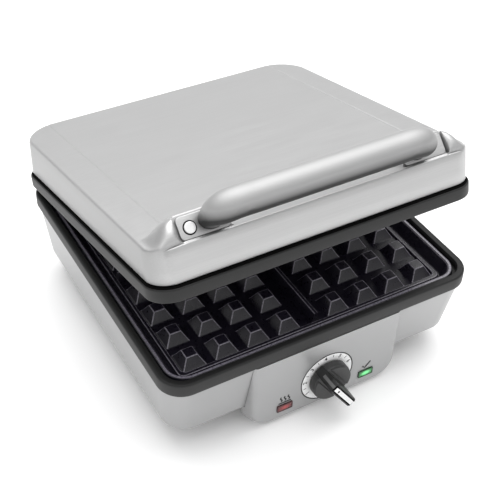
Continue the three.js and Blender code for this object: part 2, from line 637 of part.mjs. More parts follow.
put(machine, 'thermostat_bracket', build(box(
  -BRACKET_HALF, BRACKET_HALF, bracketY - BRACKET_T, bracketY, BRACKET_LOW, BRACKET_HIGH,
), {
  add: bracketLegs,
  cut: [rod('y', STAT_NECK_R + GAP, bracketY - 5, bracketY + 5, 0, DIAL_Z, 20)],
}), 'steel');
const SHAFT_BACK = STAT_Y - SHAFT_BORE - 0.4;
const SHAFT_FRONT = PANEL_Y - 14;
put(machine, 'thermostat_shaft', rod('y', SHAFT_R, SHAFT_FRONT, SHAFT_BACK, 0, DIAL_Z, 16), 'steel');
const pointer = THREE.MathUtils.degToRad(POINTER_DEG);
const INSERT_HALF_W = 1.7;
const INSERT_DEEP = 1.1;
const bladeShape = [
  [-BLADE_HALF, PANEL_Y - 5], [BLADE_HALF, PANEL_Y - 5], [BLADE_HALF, -180], [BLADE_HALF - 3, BLADE_FRONT_Y],
  [-BLADE_HALF + 3, BLADE_FRONT_Y], [-BLADE_HALF, -180],
];
function alongPointer(geometry) {
  return geometry.rotateY(-pointer).translate(0, 0, DIAL_Z);
}
// The blade is drawn with its long way on X, then turned to the pointer's direction.
function bladeBlock(points, halfW) {
  const geometry = extrude(new THREE.Shape(points.map(([x, y]) => new THREE.Vector2(x, y))), 2 * halfW);
  return geometry.translate(0, 0, -halfW);
}
const insertSlot = [
  [-BLADE_HALF + 1, BLADE_FRONT_Y + INSERT_DEEP], [BLADE_HALF - 1, BLADE_FRONT_Y + INSERT_DEEP],
  [BLADE_HALF - 1, BLADE_FRONT_Y - 2], [-BLADE_HALF + 1, BLADE_FRONT_Y - 2],
];
const knobDisc = turned([
  [0, 0.8], [KNOB_R, 0.8], [KNOB_R, KNOB_PROUD - 1.6], [KNOB_R - 1.6, KNOB_PROUD], [0, KNOB_PROUD],
], 40);
put(machine, 'knob', build(facingFront(knobDisc).translate(0, PANEL_Y, DIAL_Z), {
  add: [alongPointer(bladeBlock(bladeShape, BLADE_W / 2))],
  cut: [
    alongPointer(bladeBlock(insertSlot, INSERT_HALF_W + 0.05)),
    rod('y', SHAFT_R + 0.05, SHAFT_FRONT - 0.4, PANEL_Y + 2, 0, DIAL_Z, 16),
  ],
}), 'black');
const insertEnd = BLADE_HALF - 3.4;
const insertBack = BLADE_FRONT_Y + INSERT_DEEP - 0.1;
const insertFront = BLADE_FRONT_Y - 0.3;
const insertBar = [
  [-insertEnd, insertBack], [insertEnd, insertBack], [insertEnd, insertFront], [-insertEnd, insertFront],
];
put(machine, 'knob_insert', alongPointer(bladeBlock(insertBar, INSERT_HALF_W - 0.1)), 'bright');

// ---- hinges ----
const hingeX = (s, geometry) => geometry.translate(s * HINGE_X, 0, 0);
for (const s of SIDES) {
  const side = SIDE_NAME[s];
  const earIn = HINGE_HALF_W + GAP;
  const earOut = earIn + EAR_T;
  const web = [
    [HINGE_Y - BARREL_R, HINGE_Z], [HINGE_Y + BARREL_R, HINGE_Z], [HINGE_Y + 2, HINGE_Z - 7.8],
    [152.6, HINGE_Z - 8], [148.6, HINGE_Z - 34], [145, HINGE_Z - 34], [145, HINGE_Z - 8],
  ];
  const ears = SIDES.flatMap((e) => {
    const a = Math.min(e * earIn, e * earOut);
    const b = Math.max(e * earIn, e * earOut);
    return [rod('x', BARREL_R, a, b, HINGE_Y, HINGE_Z, 20), prismX(web, a, b)];
  });
  put(machine, `hinge_bracket_${side}`, hingeX(s, build(ears[0], {
    add: [...ears.slice(1), box(-earOut, earOut, 145, 147.6, HINGE_Z - 34, HINGE_Z - 14)],
    cut: [rod('x', PIN_R + 0.05, -30, 30, HINGE_Y, HINGE_Z, 16)],
  })), 'steel');
  const pin = rod('x', PIN_R, -earOut - 1, earOut + 1, HINGE_Y, HINGE_Z, 16);
  put(machine, `hinge_pin_${side}`, hingeX(s, pin), 'steel');
  const armFront = HALF - TRIM_WALL + GAP;
  const armBack = HALF - 0.6;
  const barrel = rod('x', BARREL_R, -HINGE_HALF_W, HINGE_HALF_W, HINGE_Y, HINGE_Z, 20);
  put(lidShut, `hinge_arm_${side}`, hingeX(s, build(barrel, {
    add: [box(-HINGE_HALF_W, HINGE_HALF_W, armFront, armBack, HINGE_Z, LID_TRIM_Z + LID_TRIM_H - 1)],
    cut: [rod('x', PIN_R + RUNNING, -30, 30, HINGE_Y, HINGE_Z, 16)],
  })), 'steel');
}

// ---- lid trim ----
const lidTrimTop = LID_TRIM_Z + LID_TRIM_H;
const armPocket = SIDES.map((s) => box(
  s * HINGE_X - HINGE_HALF_W - GAP, s * HINGE_X + HINGE_HALF_W + GAP,
  HALF - TRIM_WALL, HALF + 2, LID_TRIM_Z - 1, LID_TRIM_Z + LID_TRIM_H - 1 + GAP,
));
const upstand = HALF - 6.5;
const ledgeLow = TRIM_Z + UPPER_FLIP_Z - LEDGE_H;
put(lidShut, 'lid_trim', build(loft([
  square(LID_TRIM_Z, HALF - 0.9, CORNER_R - 0.9),
  square(LID_TRIM_Z + 1, HALF, CORNER_R),
  square(lidTrimTop - 1, HALF, CORNER_R),
  square(lidTrimTop, HALF - 0.8, CORNER_R - 0.8),
  square(lidTrimTop + 0.05, upstand, CORNER_R - 5),
  square(lidTrimTop + 6, upstand, CORNER_R - 5),
]), {
  cut: [
    loft([
      square(LID_TRIM_Z - 1, HALF - TRIM_WALL, CORNER_R - 3),
      square(ledgeLow, HALF - TRIM_WALL, CORNER_R - 3),
    ]),
    loft([
      square(LID_TRIM_Z - 1, HALF - LEDGE_IN, CORNER_R - 5),
      square(TRIM_Z + UPPER_FLIP_Z, HALF - LEDGE_IN, CORNER_R - 5),
      square(TRIM_Z + UPPER_FLIP_Z + 0.05, PLATE_RIM_HALF + GAP, CORNER_R - 4),
      square(lidTrimTop + 9, PLATE_RIM_HALF + GAP, CORNER_R - 4),
    ]),
    ...armPocket,
  ],
}), 'trim');

// ---- lid cover: straight walls, a flat top with a shallow facet down each side, and a rounded bar
// formed in each front corner ----
const coverBottom = lidTrimTop + SEAM_H;
const coverHalf = HALF - COVER_INSET;
const tilt = Math.atan(TOP_SLOPE);
function coverWalls(t, low) {
  return loft([
    square(low, coverHalf - t, COVER_R - t),
    { ...square(TRIM_Z + TOP_Z, coverHalf - t, COVER_R - t), rear: COVER_REAR_R - t },
    { ...square(TRIM_Z + TOP_Z + 30, coverHalf - t, COVER_R - t), rear: COVER_REAR_R - t },
  ]);
}
function coverForm(t) {
  const low = coverBottom - (t ? 2 : 0);
  const edge = coverHalf + 5;
  const fall = (TOP_Z - SIDE_CREASE_Z) / (coverHalf - TOP_HALF_X);
  const edgeZ = TOP_Z - t - fall * (edge - TOP_HALF_X);
  const topBlock = prismY([
    [-edge, -60], [edge, -60], [edge, edgeZ],
    [TOP_HALF_X, TOP_Z - t], [-TOP_HALF_X, TOP_Z - t], [-edge, edgeZ],
  ], -220, 220).rotateX(tilt).translate(0, 0, TRIM_Z);
  const body = build(coverWalls(t, low), { keep: [topBlock] });
  const bars = SIDES.map((s) => build(cornerBar(s, BAR_R - t), { keep: [coverWalls(t, low)] }));
  return build(body, { add: bars });
}
function cornerBar(s, r) {
  const t = BAR_R - r;
  const length = BAR_X1 - BAR_X0 - 2 * t;
  const profile = [
    [0, t], [r, t], [r, length - 20], [r * 0.9, length - 15.5], [r * 0.74, length - 10.5],
    [r * 0.52, length - 5.5], [r * 0.26, length - 1.5], [0, length],
  ];
  return turned(profile, 20).rotateY(s * Math.PI / 2).translate(s * BAR_X0, BAR_Y, TRIM_Z + BAR_Z);
}
const lugTurn = Math.PI / 2 - THREE.MathUtils.degToRad(FACET_DEG);
// Anything laid out with +Z along the lug face's normal, from the bar's axis, is seated by this.
function onLug(geometry) {
  return geometry.rotateX(lugTurn).translate(0, BAR_Y, TRIM_Z + BAR_Z);
}
const LUG_T = 2.2;
const lugFloor = FACET_D - LUG_T - GAP;
function lugPocket(s, floor, grow) {
  const x0 = s > 0 ? LUG_X0 - grow : -LUG_X1 - grow;
  const x1 = s > 0 ? LUG_X1 + grow : -LUG_X0 + grow;
  return onLug(box(x0, x1, LUG_LOW - grow, 16, floor, 40));
}
const postRoot = { x: GRIP_END_X, t: 1 };
const screwTurn = (geometry, s) => onLug(geometry.translate(s * postRoot.x, postRoot.t, 0));
const LUG_SCREW_R = 2.2;
const coverCavity = build(coverForm(COVER_T), {
  cut: SIDES.map((s) => lugPocket(s, lugFloor - COVER_T, COVER_T)),
});
put(lidShut, 'lid_cover', build(coverForm(0), {
  cut: [
    coverCavity,
    ...SIDES.map((s) => lugPocket(s, lugFloor, 0)),
    ...SIDES.map((s) => screwTurn(rod('z', LUG_SCREW_R + GAP, -4, 20, 0, 0, 12), s)),
    onLug(rod('z', BUTTON_R + 0.5, -4, 20, -BUTTON_X, BUTTON_UP, 20)),
  ],
}), 'stainless');

// ---- handle: a straight bar on two bent ends, on a lug at each corner ----
for (const s of SIDES) {
  const x0 = s > 0 ? LUG_X0 + GAP : -LUG_X1 + GAP;
  const x1 = s > 0 ? LUG_X1 - GAP : -LUG_X0 - GAP;
  const tall = LUG_HIGH - LUG_LOW - GAP;
  const outline = rounded(x1 - x0, tall, LUG_R, (x0 + x1) / 2, LUG_HIGH - tall / 2);
  const lug = extrude(outline, LUG_T, 3).translate(0, 0, FACET_D - LUG_T);
  const holes = [rod('z', LUG_SCREW_R + GAP, -4, 20, s * postRoot.x, postRoot.t, 12)];
  if (s < 0) holes.push(rod('z', BUTTON_R + 0.35, -4, 20, -BUTTON_X, BUTTON_UP, 20));
  put(lidShut, `handle_end_${SIDE_NAME[s]}`, onLug(build(lug, { cut: holes })), 'bright');
}
const facetN = new THREE.Vector3(0, 0, 1).applyAxisAngle(X_AXIS, lugTurn);
const facetT = new THREE.Vector3(0, 1, 0).applyAxisAngle(X_AXIS, lugTurn);
const rootPoint = new THREE.Vector3(0, BAR_Y, TRIM_Z + BAR_Z)
  .addScaledVector(facetN, FACET_D - 4).addScaledVector(facetT, postRoot.t);
function post(s) {
  const from = new THREE.Vector3(s * GRIP_END_X, rootPoint.y, rootPoint.z);
  const to = new THREE.Vector3(s * (GRIP_END_X - 1), GRIP_Y, TRIM_Z + GRIP_Z);
  const way = to.clone().sub(from);
  const geometry = new THREE.CylinderGeometry(GRIP_R - 0.6, GRIP_R - 2.4, way.length(), 16);
  geometry.applyQuaternion(new THREE.Quaternion().setFromUnitVectors(Y_AXIS, way.clone().normalize()));
  const mid = from.add(to).multiplyScalar(0.5);
  return geometry.translate(mid.x, mid.y, mid.z);
}
const elbow = (s) => new THREE.SphereGeometry(GRIP_R, 16, 10).rotateZ(Math.PI / 2)
  .translate(s * (GRIP_END_X - 1), GRIP_Y, TRIM_Z + GRIP_Z);
const gripBar = rod('x', GRIP_R, 1 - GRIP_END_X, GRIP_END_X - 1, GRIP_Y, TRIM_Z + GRIP_Z, 20);
put(lidShut, 'handle_grip', build(gripBar, {
  add: SIDES.flatMap((s) => [elbow(s), post(s)]),
  cut: [
    onLug(box(-140, 140, -20, 20, -20, FACET_D + GAP)),
    onLug(box(-140, 140, -20, LUG_LOW + GAP, -20, BAR_R - 2)),
    ...SIDES.map((s) => screwTurn(rod('z', LUG_SCREW_R + 0.1, 0, 20, 0, 0, 12), s)),
  ],
}), 'stainless');
const lugScrew = turned([
  [0, lugFloor - COVER_T - 3.2], [3, lugFloor - COVER_T - 3.1], [4, lugFloor - COVER_T - 2],
  [4, lugFloor - COVER_T - GAP], [LUG_SCREW_R, lugFloor - COVER_T - GAP], [LUG_SCREW_R, 18.5], [0, 19.5],
], 12);
for (const s of SIDES) {
  put(lidShut, `handle_screw_${SIDE_NAME[s]}`, screwTurn(lugScrew.clone(), s), 'steel');
}

// ---- plate catches: a button, its catch bar with a nose, and the spring round the stem ----
const STEM_R = 2;
const WIRE_R = 0.45;
// A helical spring standing on +Z, drawn at its pressed length.
function spring(r, from, to, turns) {
  const points = [];
  for (let i = 0; i <= turns * 8; i += 1) {
    const angle = (i / 8) * 2 * Math.PI;
    points.push([r * Math.cos(angle), r * Math.sin(angle), from + ((to - from) * i) / (turns * 8)]);
  }
  return tube(points, WIRE_R, turns * 10, 2);
}

const FLANGE_T = 1.2;
function buttonProfile(stemEnd, flangeTop, r, face) {
  return [
    [0, stemEnd], [STEM_R, stemEnd], [STEM_R, flangeTop - FLANGE_T], [r + 1.2, flangeTop - FLANGE_T],
    [r + 1.2, flangeTop], [r, flangeTop], [r, face - 0.5], [r - 0.5, face], [0, face],
  ];
}
const GUIDE_T = 1.2;
function guideBracket(x, low, high, halfW, halfT) {
  return build(box(x - halfW, x + halfW, -halfT, halfT, low, low + GUIDE_T), {
    add: SIDES.map((s) => box(
      x + s * halfW - GUIDE_T / 2, x + s * halfW + GUIDE_T / 2, -halfT, halfT, low, high,
    )),
    cut: [rod('z', STEM_R + GAP, low - 1, low + 3, x, 0, 12)],
  });
}
const SPRING_LONG = 2.2;
const NOSE_W = 4;

// Upper catch: laid out on the bar's axis with +Z along the lug's normal.
const flangeTop = lugFloor - COVER_T - GAP;
const upperStem = -7;
const upperGuide = -5;
const upperButton = turned(buttonProfile(upperStem, flangeTop, BUTTON_R, FACET_D + 1.3), 20);
put(lidShut, 'upper_release_button', onLug(upperButton.translate(-BUTTON_X, BUTTON_UP, 0)), 'bright');
const SPRING_R = STEM_R + 1.4;
const SPRING_TURNS = 2;
const upperSpringTop = flangeTop - FLANGE_T - GAP - 0.5;
const upperSpring = spring(SPRING_R, upperSpringTop - SPRING_LONG, upperSpringTop, SPRING_TURNS);
put(lidShut, 'upper_catch_spring', onLug(upperSpring.translate(-BUTTON_X, BUTTON_UP, 0)), 'steel');
const upperBracket = guideBracket(-BUTTON_X, upperGuide, flangeTop, 9, 6).translate(0, BUTTON_UP, 0);
put(lidShut, 'upper_catch_guide', onLug(upperBracket), 'steel');
const flipped = (z) => TRIM_Z + UPPER_FLIP_Z - z;
const upperBar = box(
  -BUTTON_X - NOSE_W, -BUTTON_X + NOSE_W, -138, -136.2, flipped(NOSE_Z[1]), TRIM_Z + 58.2,
);
const upperNose = box(
  -BUTTON_X - NOSE_W, -BUTTON_X + NOSE_W, -TAB_OUT + 2 + GAP, -137, flipped(NOSE_Z[1]), flipped(NOSE_Z[0]),
);
const upperHead = onLug(box(
  -BUTTON_X - NOSE_W, -BUTTON_X + NOSE_W, -6, 5, upperStem - GAP - 1.6, upperStem - GAP,
));
put(lidShut, 'upper_catch', build(upperBar, { add: [upperNose, upperHead] }), 'steel');

// Lower catch: through the right wall, laid out with +Z turned to +X.
const aside = (geometry) => geometry.rotateY(Math.PI / 2).translate(0, LOWER_CATCH_Y, releaseHole.z);
const lowerFlange = 151.9;
const lowerStem = 138.5;
const lowerButton = turned(buttonProfile(lowerStem, lowerFlange, releaseHole.r - 0.4, 156.6), 20);
put(machine, 'lower_release_button', aside(lowerButton), 'bright');
const lowerSpringTop = lowerFlange - FLANGE_T - GAP - 0.5;
const lowerSpring = spring(SPRING_R, lowerSpringTop - SPRING_LONG, lowerSpringTop, SPRING_TURNS);
put(machine, 'lower_catch_spring', aside(lowerSpring), 'steel');
const lowerGuide = { low: 143.2, high: 151.5, halfW: 9, halfT: 5 }; // deep enough for the spring's travel
put(machine, 'lower_catch_guide', aside(guideBracket(
  0, lowerGuide.low, lowerGuide.high, lowerGuide.halfW, lowerGuide.halfT,
)), 'steel');
const lowerBar = box(
  lowerStem - GAP - 2, lowerStem - GAP, LOWER_CATCH_Y - NOSE_W, LOWER_CATCH_Y + NOSE_W,
  releaseHole.z - 4, TRIM_Z + NOSE_Z[1],
);
const lowerNose = box(
  lowerStem - GAP - 1, TAB_OUT - 2 - GAP, LOWER_CATCH_Y - NOSE_W, LOWER_CATCH_Y + NOSE_W,
  TRIM_Z + NOSE_Z[0], TRIM_Z + NOSE_Z[1],
);
put(machine, 'lower_catch', build(lowerBar, { add: [lowerNose] }), 'steel');

export default machine;
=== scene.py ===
import json
import math

import bmesh
import bpy
import numpy as np
from mathutils import Matrix, Vector


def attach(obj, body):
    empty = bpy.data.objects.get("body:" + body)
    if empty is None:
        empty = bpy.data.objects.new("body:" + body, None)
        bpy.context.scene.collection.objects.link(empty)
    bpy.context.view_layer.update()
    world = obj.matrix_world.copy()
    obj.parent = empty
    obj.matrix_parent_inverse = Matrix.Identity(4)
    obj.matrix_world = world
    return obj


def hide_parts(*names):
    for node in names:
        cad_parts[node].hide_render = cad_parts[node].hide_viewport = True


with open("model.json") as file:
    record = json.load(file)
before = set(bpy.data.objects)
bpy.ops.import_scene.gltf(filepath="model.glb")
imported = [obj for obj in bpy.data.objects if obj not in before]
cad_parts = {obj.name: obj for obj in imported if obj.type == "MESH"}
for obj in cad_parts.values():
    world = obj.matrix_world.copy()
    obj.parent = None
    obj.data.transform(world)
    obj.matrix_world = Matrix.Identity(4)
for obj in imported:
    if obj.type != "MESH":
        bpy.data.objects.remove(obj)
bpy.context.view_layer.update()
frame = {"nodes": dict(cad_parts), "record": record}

# ---- dimensions, in millimetres; y counts from the middle of the two trims until SHIFT is added ----
SHIFT = 6.17
HALF = 160.0
TRIM_Z = 83.0
TRIM_H = 14.0
PARTING = 1.5
LID_TRIM_Z = TRIM_Z + TRIM_H + PARTING
LID_TRIM_H = 12.5
LID_TRIM_TOP = LID_TRIM_Z + LID_TRIM_H
CORNER_R = 23.7
HINGE = Vector((0, 158.8, 78.85))
LID_OPEN = math.radians(14.63)
FLIP_Z = TRIM_Z + 27
GAP = 0.3  # clearance between neighbouring pieces
HOUSING_TOP = TRIM_Z - GAP
TRIM_SEG = 14  # steps in each corner of the two trims
RELEASE_X, RELEASE_Y, RELEASE_Z = 155.0, -96.0, 60.0
INLET_X, INLET_Z = 118.0, 47.0
FOOT_X, FOOT_Y = 105.0, 98.0

BASE = Matrix.Translation((0, SHIFT, 0))
LID = BASE @ Matrix.Translation(HINGE) @ Matrix.Rotation(-LID_OPEN, 4, "X") @ Matrix.Translation(-HINGE)


# ---- node helpers ----
def new_material(name):
    m = bpy.data.materials.new(name)
    m.use_nodes = True
    nt = m.node_tree
    return m, nt, nt.nodes["Principled BSDF"]


def node(nt, kind, **values):
    n = nt.nodes.new(kind)
    for key, value in values.items():
        if key in n.inputs:
            n.inputs[key].default_value = value
        else:
            setattr(n, key, value)
    return n


def noise(nt, scale, stretch=(1, 1, 1), detail=3.0, seed=0.0):
    """Object-space noise, in repeats per metre, stretched along one axis for a grain."""
    tc = node(nt, "ShaderNodeTexCoord")
    mp = node(nt, "ShaderNodeMapping")
    mp.inputs["Scale"].default_value = stretch
    mp.inputs["Location"].default_value = (seed, seed * 0.7, seed * 1.3)
    nt.links.new(tc.outputs["Object"], mp.inputs["Vector"])
    n = node(nt, "ShaderNodeTexNoise", Scale=scale, Detail=detail, Roughness=0.55)
    nt.links.new(mp.outputs["Vector"], n.inputs["Vector"])
    return n.outputs["Fac"]


def remap(nt, fac, lo, hi, from_lo=0.3, from_hi=0.7):
    r = node(nt, "ShaderNodeMapRange")
    r.inputs["From Min"].default_value = from_lo
    r.inputs["From Max"].default_value = from_hi
    r.inputs["To Min"].default_value = lo
    r.inputs["To Max"].default_value = hi
    nt.links.new(fac, r.inputs["Value"])
    return r.outputs["Result"]


def shade_mix(nt, fac, dark, light, lo=0.3, hi=0.7):
    ramp = node(nt, "ShaderNodeValToRGB")
    ramp.color_ramp.elements[0].position = lo
    ramp.color_ramp.elements[1].position = hi
    ramp.color_ramp.elements[0].color = (*dark, 1)
    ramp.color_ramp.elements[1].color = (*light, 1)
    nt.links.new(fac, ramp.inputs["Fac"])
    return ramp.outputs["Color"]


def grey(v, tint=(1, 1, 1)):
    return tuple(v * t for t in tint)


def shade_by_facing(nt, tone, axis, stops):
    """Multiplies a colour by a factor that depends on which way the surface faces on its own piece."""
    tc = node(nt, "ShaderNodeTexCoord")
    xyz = node(nt, "ShaderNodeSeparateXYZ")
    nt.links.new(tc.outputs["Normal"], xyz.inputs["Vector"])
    ramp = node(nt, "ShaderNodeValToRGB")
    while len(ramp.color_ramp.elements) < len(stops):
        ramp.color_ramp.elements.new(0.5)
    for element, (facing, factor) in zip(ramp.color_ramp.elements, stops):
        element.position = (facing + 1) / 2
        element.color = (factor, factor, factor, 1)
    nt.links.new(remap(nt, xyz.outputs[axis], 0, 1, -1, 1), ramp.inputs["Fac"])
    shade = node(nt, "ShaderNodeMix", data_type="RGBA", blend_type="MULTIPLY")
    shade.inputs["Factor"].default_value = 1.0
    nt.links.new(tone, shade.inputs["A"])
    nt.links.new(ramp.outputs["Color"], shade.inputs["B"])
    return shade.outputs["Result"]


def surface(name, dark, light, rough, metal=0.0, scale=400, stretch=(1, 1, 1), detail=3.0, bump=0.1,
            bump_mm=0.02, coat=0.0, coat_rough=0.2, spec=0.5, fine=None, painted_crease_shade=0.0, reach=0.03, under=1.0,
            side=1.0, top=1.0):
    """A finish with its own colour variation, roughness variation and relief, from noise in object space, and
    optional painted shade.
    """
    m, nt, bsdf = new_material(name)
    grain = noise(nt, scale, stretch, detail)
    tone = shade_mix(nt, grain, dark, light)
    if painted_crease_shade:
        # painted shade: the colour is darkened by ambient occlusion in creases, where pieces come close
        # together
        near = node(nt, "ShaderNodeAmbientOcclusion", samples=6)
        near.inputs["Distance"].default_value = reach
        crease_shade_mix = node(nt, "ShaderNodeMix", data_type="RGBA", blend_type="MULTIPLY")
        crease_shade_mix.inputs["Factor"].default_value = 1.0
        nt.links.new(tone, crease_shade_mix.inputs["A"])
        open_share = shade_mix(nt, near.outputs["AO"], grey(1 - painted_crease_shade), grey(1.0), 0.15, 0.85)
        nt.links.new(open_share, crease_shade_mix.inputs["B"])
        tone = crease_shade_mix.outputs["Result"]
    if under < 1:
        # painted shade: the faces that look a little down are darkened
        tone = shade_by_facing(nt, tone, "Z", ((-0.9, 0.7), (-0.5, under), (-0.2, under), (0.42, 1.0)))
    if side < 1:
        # painted shade: the walls that face left and right are darkened
        tone = shade_by_facing(nt, tone, "X", ((-1.0, side), (-0.45, 1.0), (0.45, 1.0), (1.0, side)))
    if top < 1:
        # painted shade: the faces that look up are darkened to a deeper black
        tone = shade_by_facing(nt, tone, "Z", ((-1.0, 1.0), (0.35, 1.0), (0.85, top), (1.0, top)))
    nt.links.new(tone, bsdf.inputs["Base Color"])
    nt.links.new(remap(nt, grain, rough[0], rough[1]), bsdf.inputs["Roughness"])
    bsdf.inputs["Metallic"].default_value = metal
    bsdf.inputs["Specular IOR Level"].default_value = spec
    bsdf.inputs["Coat Weight"].default_value = coat
    bsdf.inputs["Coat Roughness"].default_value = coat_rough
    relief = noise(nt, fine[0], fine[1], 2.0, 3.1) if fine else grain
    b = node(nt, "ShaderNodeBump", Strength=bump, Distance=bump_mm * 0.001)
    nt.links.new(relief, b.inputs["Height"])
    nt.links.new(b.outputs["Normal"], bsdf.inputs["Normal"])
    return m


BRUSHED_X = (0.012, 1, 1)
# painted shade: several finishes below are darkened in creases, and some by the way their faces look
STAINLESS = surface("brushed_lid", grey(0.47), grey(0.52, (1, 1, 0.998)), (0.37, 0.47), metal=0.75,
                    scale=1500, stretch=BRUSHED_X, detail=4, bump=0.22, bump_mm=0.03, painted_crease_shade=0.4, reach=0.008,
                    side=0.72)
GRIP_FINISH = surface("satin_grip", grey(0.42), grey(0.46), (0.56, 0.64), metal=0.95, scale=1500,
                      stretch=(0.02, 1, 1), bump=0.10, bump_mm=0.012, painted_crease_shade=0.4, reach=0.04, under=0.12)
LUG_FINISH = surface("polished_lug", grey(0.50), grey(0.56), (0.32, 0.42), metal=0.7, scale=900,
                     stretch=(0.1, 1, 1), bump=0.05, painted_crease_shade=0.5, reach=0.015)
COOL = (1, 1.003, 1.008)
SILVER = surface("silver_paint", grey(0.375, COOL), grey(0.405, COOL), (0.34, 0.42), metal=0.45, scale=2600,
                 bump=0.10, bump_mm=0.015, coat=0.15, coat_rough=0.3, painted_crease_shade=0.6, reach=0.006)
TRIM = surface("dark_trim", grey(0.024), grey(0.031), (0.46, 0.56), scale=1800, bump=0.22, bump_mm=0.03,
               spec=0.3, painted_crease_shade=0.6, reach=0.005, top=0.3)
BLACK = surface("black_moulding", grey(0.018), grey(0.026), (0.42, 0.54), scale=1500, bump=0.2,
                bump_mm=0.03)
# painted shadow: a near-black, dull finish for the lid seam and the button's well, which stand in shadow
SHADOW_BLACK = surface("seam_black", grey(0.002), grey(0.004), (0.85, 0.95), scale=900, bump=0.1, spec=0.04)
KNOB_GREY = surface("knob_body", grey(0.022), grey(0.030), (0.36, 0.46), scale=1500, bump=0.15)
BLADE = surface("knob_blade", grey(0.009), grey(0.014), (0.34, 0.44), scale=1500, bump=0.12, spec=0.4)
# painted light: a lighter grey for the lit end of the knob's blade
KNOB_END_LIGHT = surface("knob_end_painted_light", grey(0.10), grey(0.13), (0.35, 0.45), scale=1500, bump=0.1)
RUBBER = surface("rubber_foot", grey(0.012), grey(0.02), (0.75, 0.9), scale=1200, bump=0.4, bump_mm=0.05)
STEEL = surface("plain_steel", grey(0.42), grey(0.52), (0.28, 0.4), metal=1.0, scale=900,
                stretch=(1, 1, 0.2))
BRIGHT = surface("bright_insert", grey(0.80), grey(0.88), (0.10, 0.16), metal=0.9, scale=700, bump=0.03)
BUTTON = surface("button_cap", grey(0.80), grey(0.86), (0.18, 0.26), metal=0.35, scale=1100, bump=0.04)
DIAL = surface("dial_ring", grey(0.84), grey(0.90), (0.22, 0.32), scale=1800, bump=0.06)
RED_EDGE = surface("red_frame", (0.035, 0.004, 0.005), (0.05, 0.006, 0.007), (0.3, 0.4), scale=1500,
                   bump=0.05)
GREEN_EDGE = surface("green_frame", (0.002, 0.035, 0.008), (0.004, 0.05, 0.012), (0.3, 0.4), scale=1500,
                     bump=0.05)
PRINT = surface("dark_print", grey(0.008), grey(0.016), (0.5, 0.6), scale=1500, bump=0.05)
SHEET = surface("bright_sheet", grey(0.6), grey(0.7), (0.25, 0.4), metal=1.0, scale=500, bump=0.1)
SHEATH = surface("heater_sheath", grey(0.05), grey(0.10), (0.5, 0.7), metal=0.7, scale=700, bump=0.2)
PORCELAIN = surface("porcelain", (0.72, 0.68, 0.58), (0.8, 0.76, 0.67), (0.45, 0.6), scale=900, bump=0.15)
BOARD = surface("resin_board", (0.24, 0.14, 0.05), (0.32, 0.19, 0.07), (0.4, 0.55), scale=1300, bump=0.1)
LAMP = surface("lamp_glass", (0.75, 0.68, 0.6), (0.85, 0.78, 0.7), (0.05, 0.1), scale=900, bump=0.02)

COAT_DARK, COAT_LIGHT = (0.006, 0.005, 0.0095), (0.013, 0.011, 0.019)
COATING = surface("nonstick", COAT_DARK, COAT_LIGHT, (0.24, 0.42), scale=420, detail=6, bump=0.3,
                  bump_mm=0.06, coat=0.12, coat_rough=0.18, spec=0.42, fine=(1500, (1, 1, 1)))
# painted highlight: a lighter coating colour on the edges that catch the light
EDGE_HIGHLIGHT = surface("nonstick_painted_highlight", (0.10, 0.092, 0.118), (0.23, 0.215, 0.255), (0.24, 0.36), scale=500,
                       detail=4, bump=0.2, bump_mm=0.04, coat=0.3, spec=0.6)


WINDOW_SCALE = (125, 0, 250)  # one over half the window's width and height, in metres


def lens_material(name, deep, bright, glow, centre):
    """A lit window: bright in the middle, deep towards its edges, with a faint cast texture."""
    m, nt, bsdf = new_material(name)
    tc = node(nt, "ShaderNodeTexCoord")
    mp = node(nt, "ShaderNodeMapping")
    mp.inputs["Location"].default_value = tuple(-c * k for c, k in zip(centre, WINDOW_SCALE))
    mp.inputs["Scale"].default_value = WINDOW_SCALE
    nt.links.new(tc.outputs["Object"], mp.inputs["Vector"])
    far = node(nt, "ShaderNodeVectorMath", operation="LENGTH")
    nt.links.new(mp.outputs["Vector"], far.inputs[0])
    spread = noise(nt, 900, (1, 1, 1), 2)
    wobble = node(nt, "ShaderNodeMath", operation="MULTIPLY_ADD")
    wobble.inputs[1].default_value = 0.35
    nt.links.new(spread, wobble.inputs[0])
    nt.links.new(far.outputs["Value"], wobble.inputs[2])
    tone = shade_mix(nt, wobble.outputs["Value"], bright, deep, 0.45, 1.25)
    nt.links.new(tone, bsdf.inputs["Base Color"])
    nt.links.new(tone, bsdf.inputs["Emission Color"])
    nt.links.new(remap(nt, spread, 0.08, 0.16), bsdf.inputs["Roughness"])
    bsdf.inputs["Coat Weight"].default_value = 0.5
    bsdf.inputs["Emission Strength"].default_value = glow
    return m


RED = lens_material("red_window", (0.10, 0.006, 0.008), (0.33, 0.028, 0.03), 0.12,
                    (-0.0445, -0.154, 0.018))
GREEN = lens_material("green_window", (0.004, 0.13, 0.02), (0.16, 0.80, 0.27), 0.45,
                      (0.0445, -0.154, 0.018))


# ---- mesh helpers: everything is drawn in millimetres and placed in metres ----
def raw_mesh(name, verts, faces):
    me = bpy.data.meshes.new(name)
    me.from_pydata([tuple(v) for v in verts], [], [tuple(f) for f in faces])
    return me


def settle(me, place, weld=False):
    """Places a mesh in the frame, in metres, with its faces looking outwards."""
    me.transform(Matrix.Scale(0.001, 4) @ place)
    bm = bmesh.new()
    bm.from_mesh(me)
    if weld:
        bmesh.ops.remove_doubles(bm, verts=bm.verts, dist=1e-6)
    bmesh.ops.recalc_face_normals(bm, faces=bm.faces)
    bm.to_mesh(me)
    bm.free()


def linked(name, data):
    o = bpy.data.objects.new(name, data)
    bpy.context.scene.collection.objects.link(o)
    return o


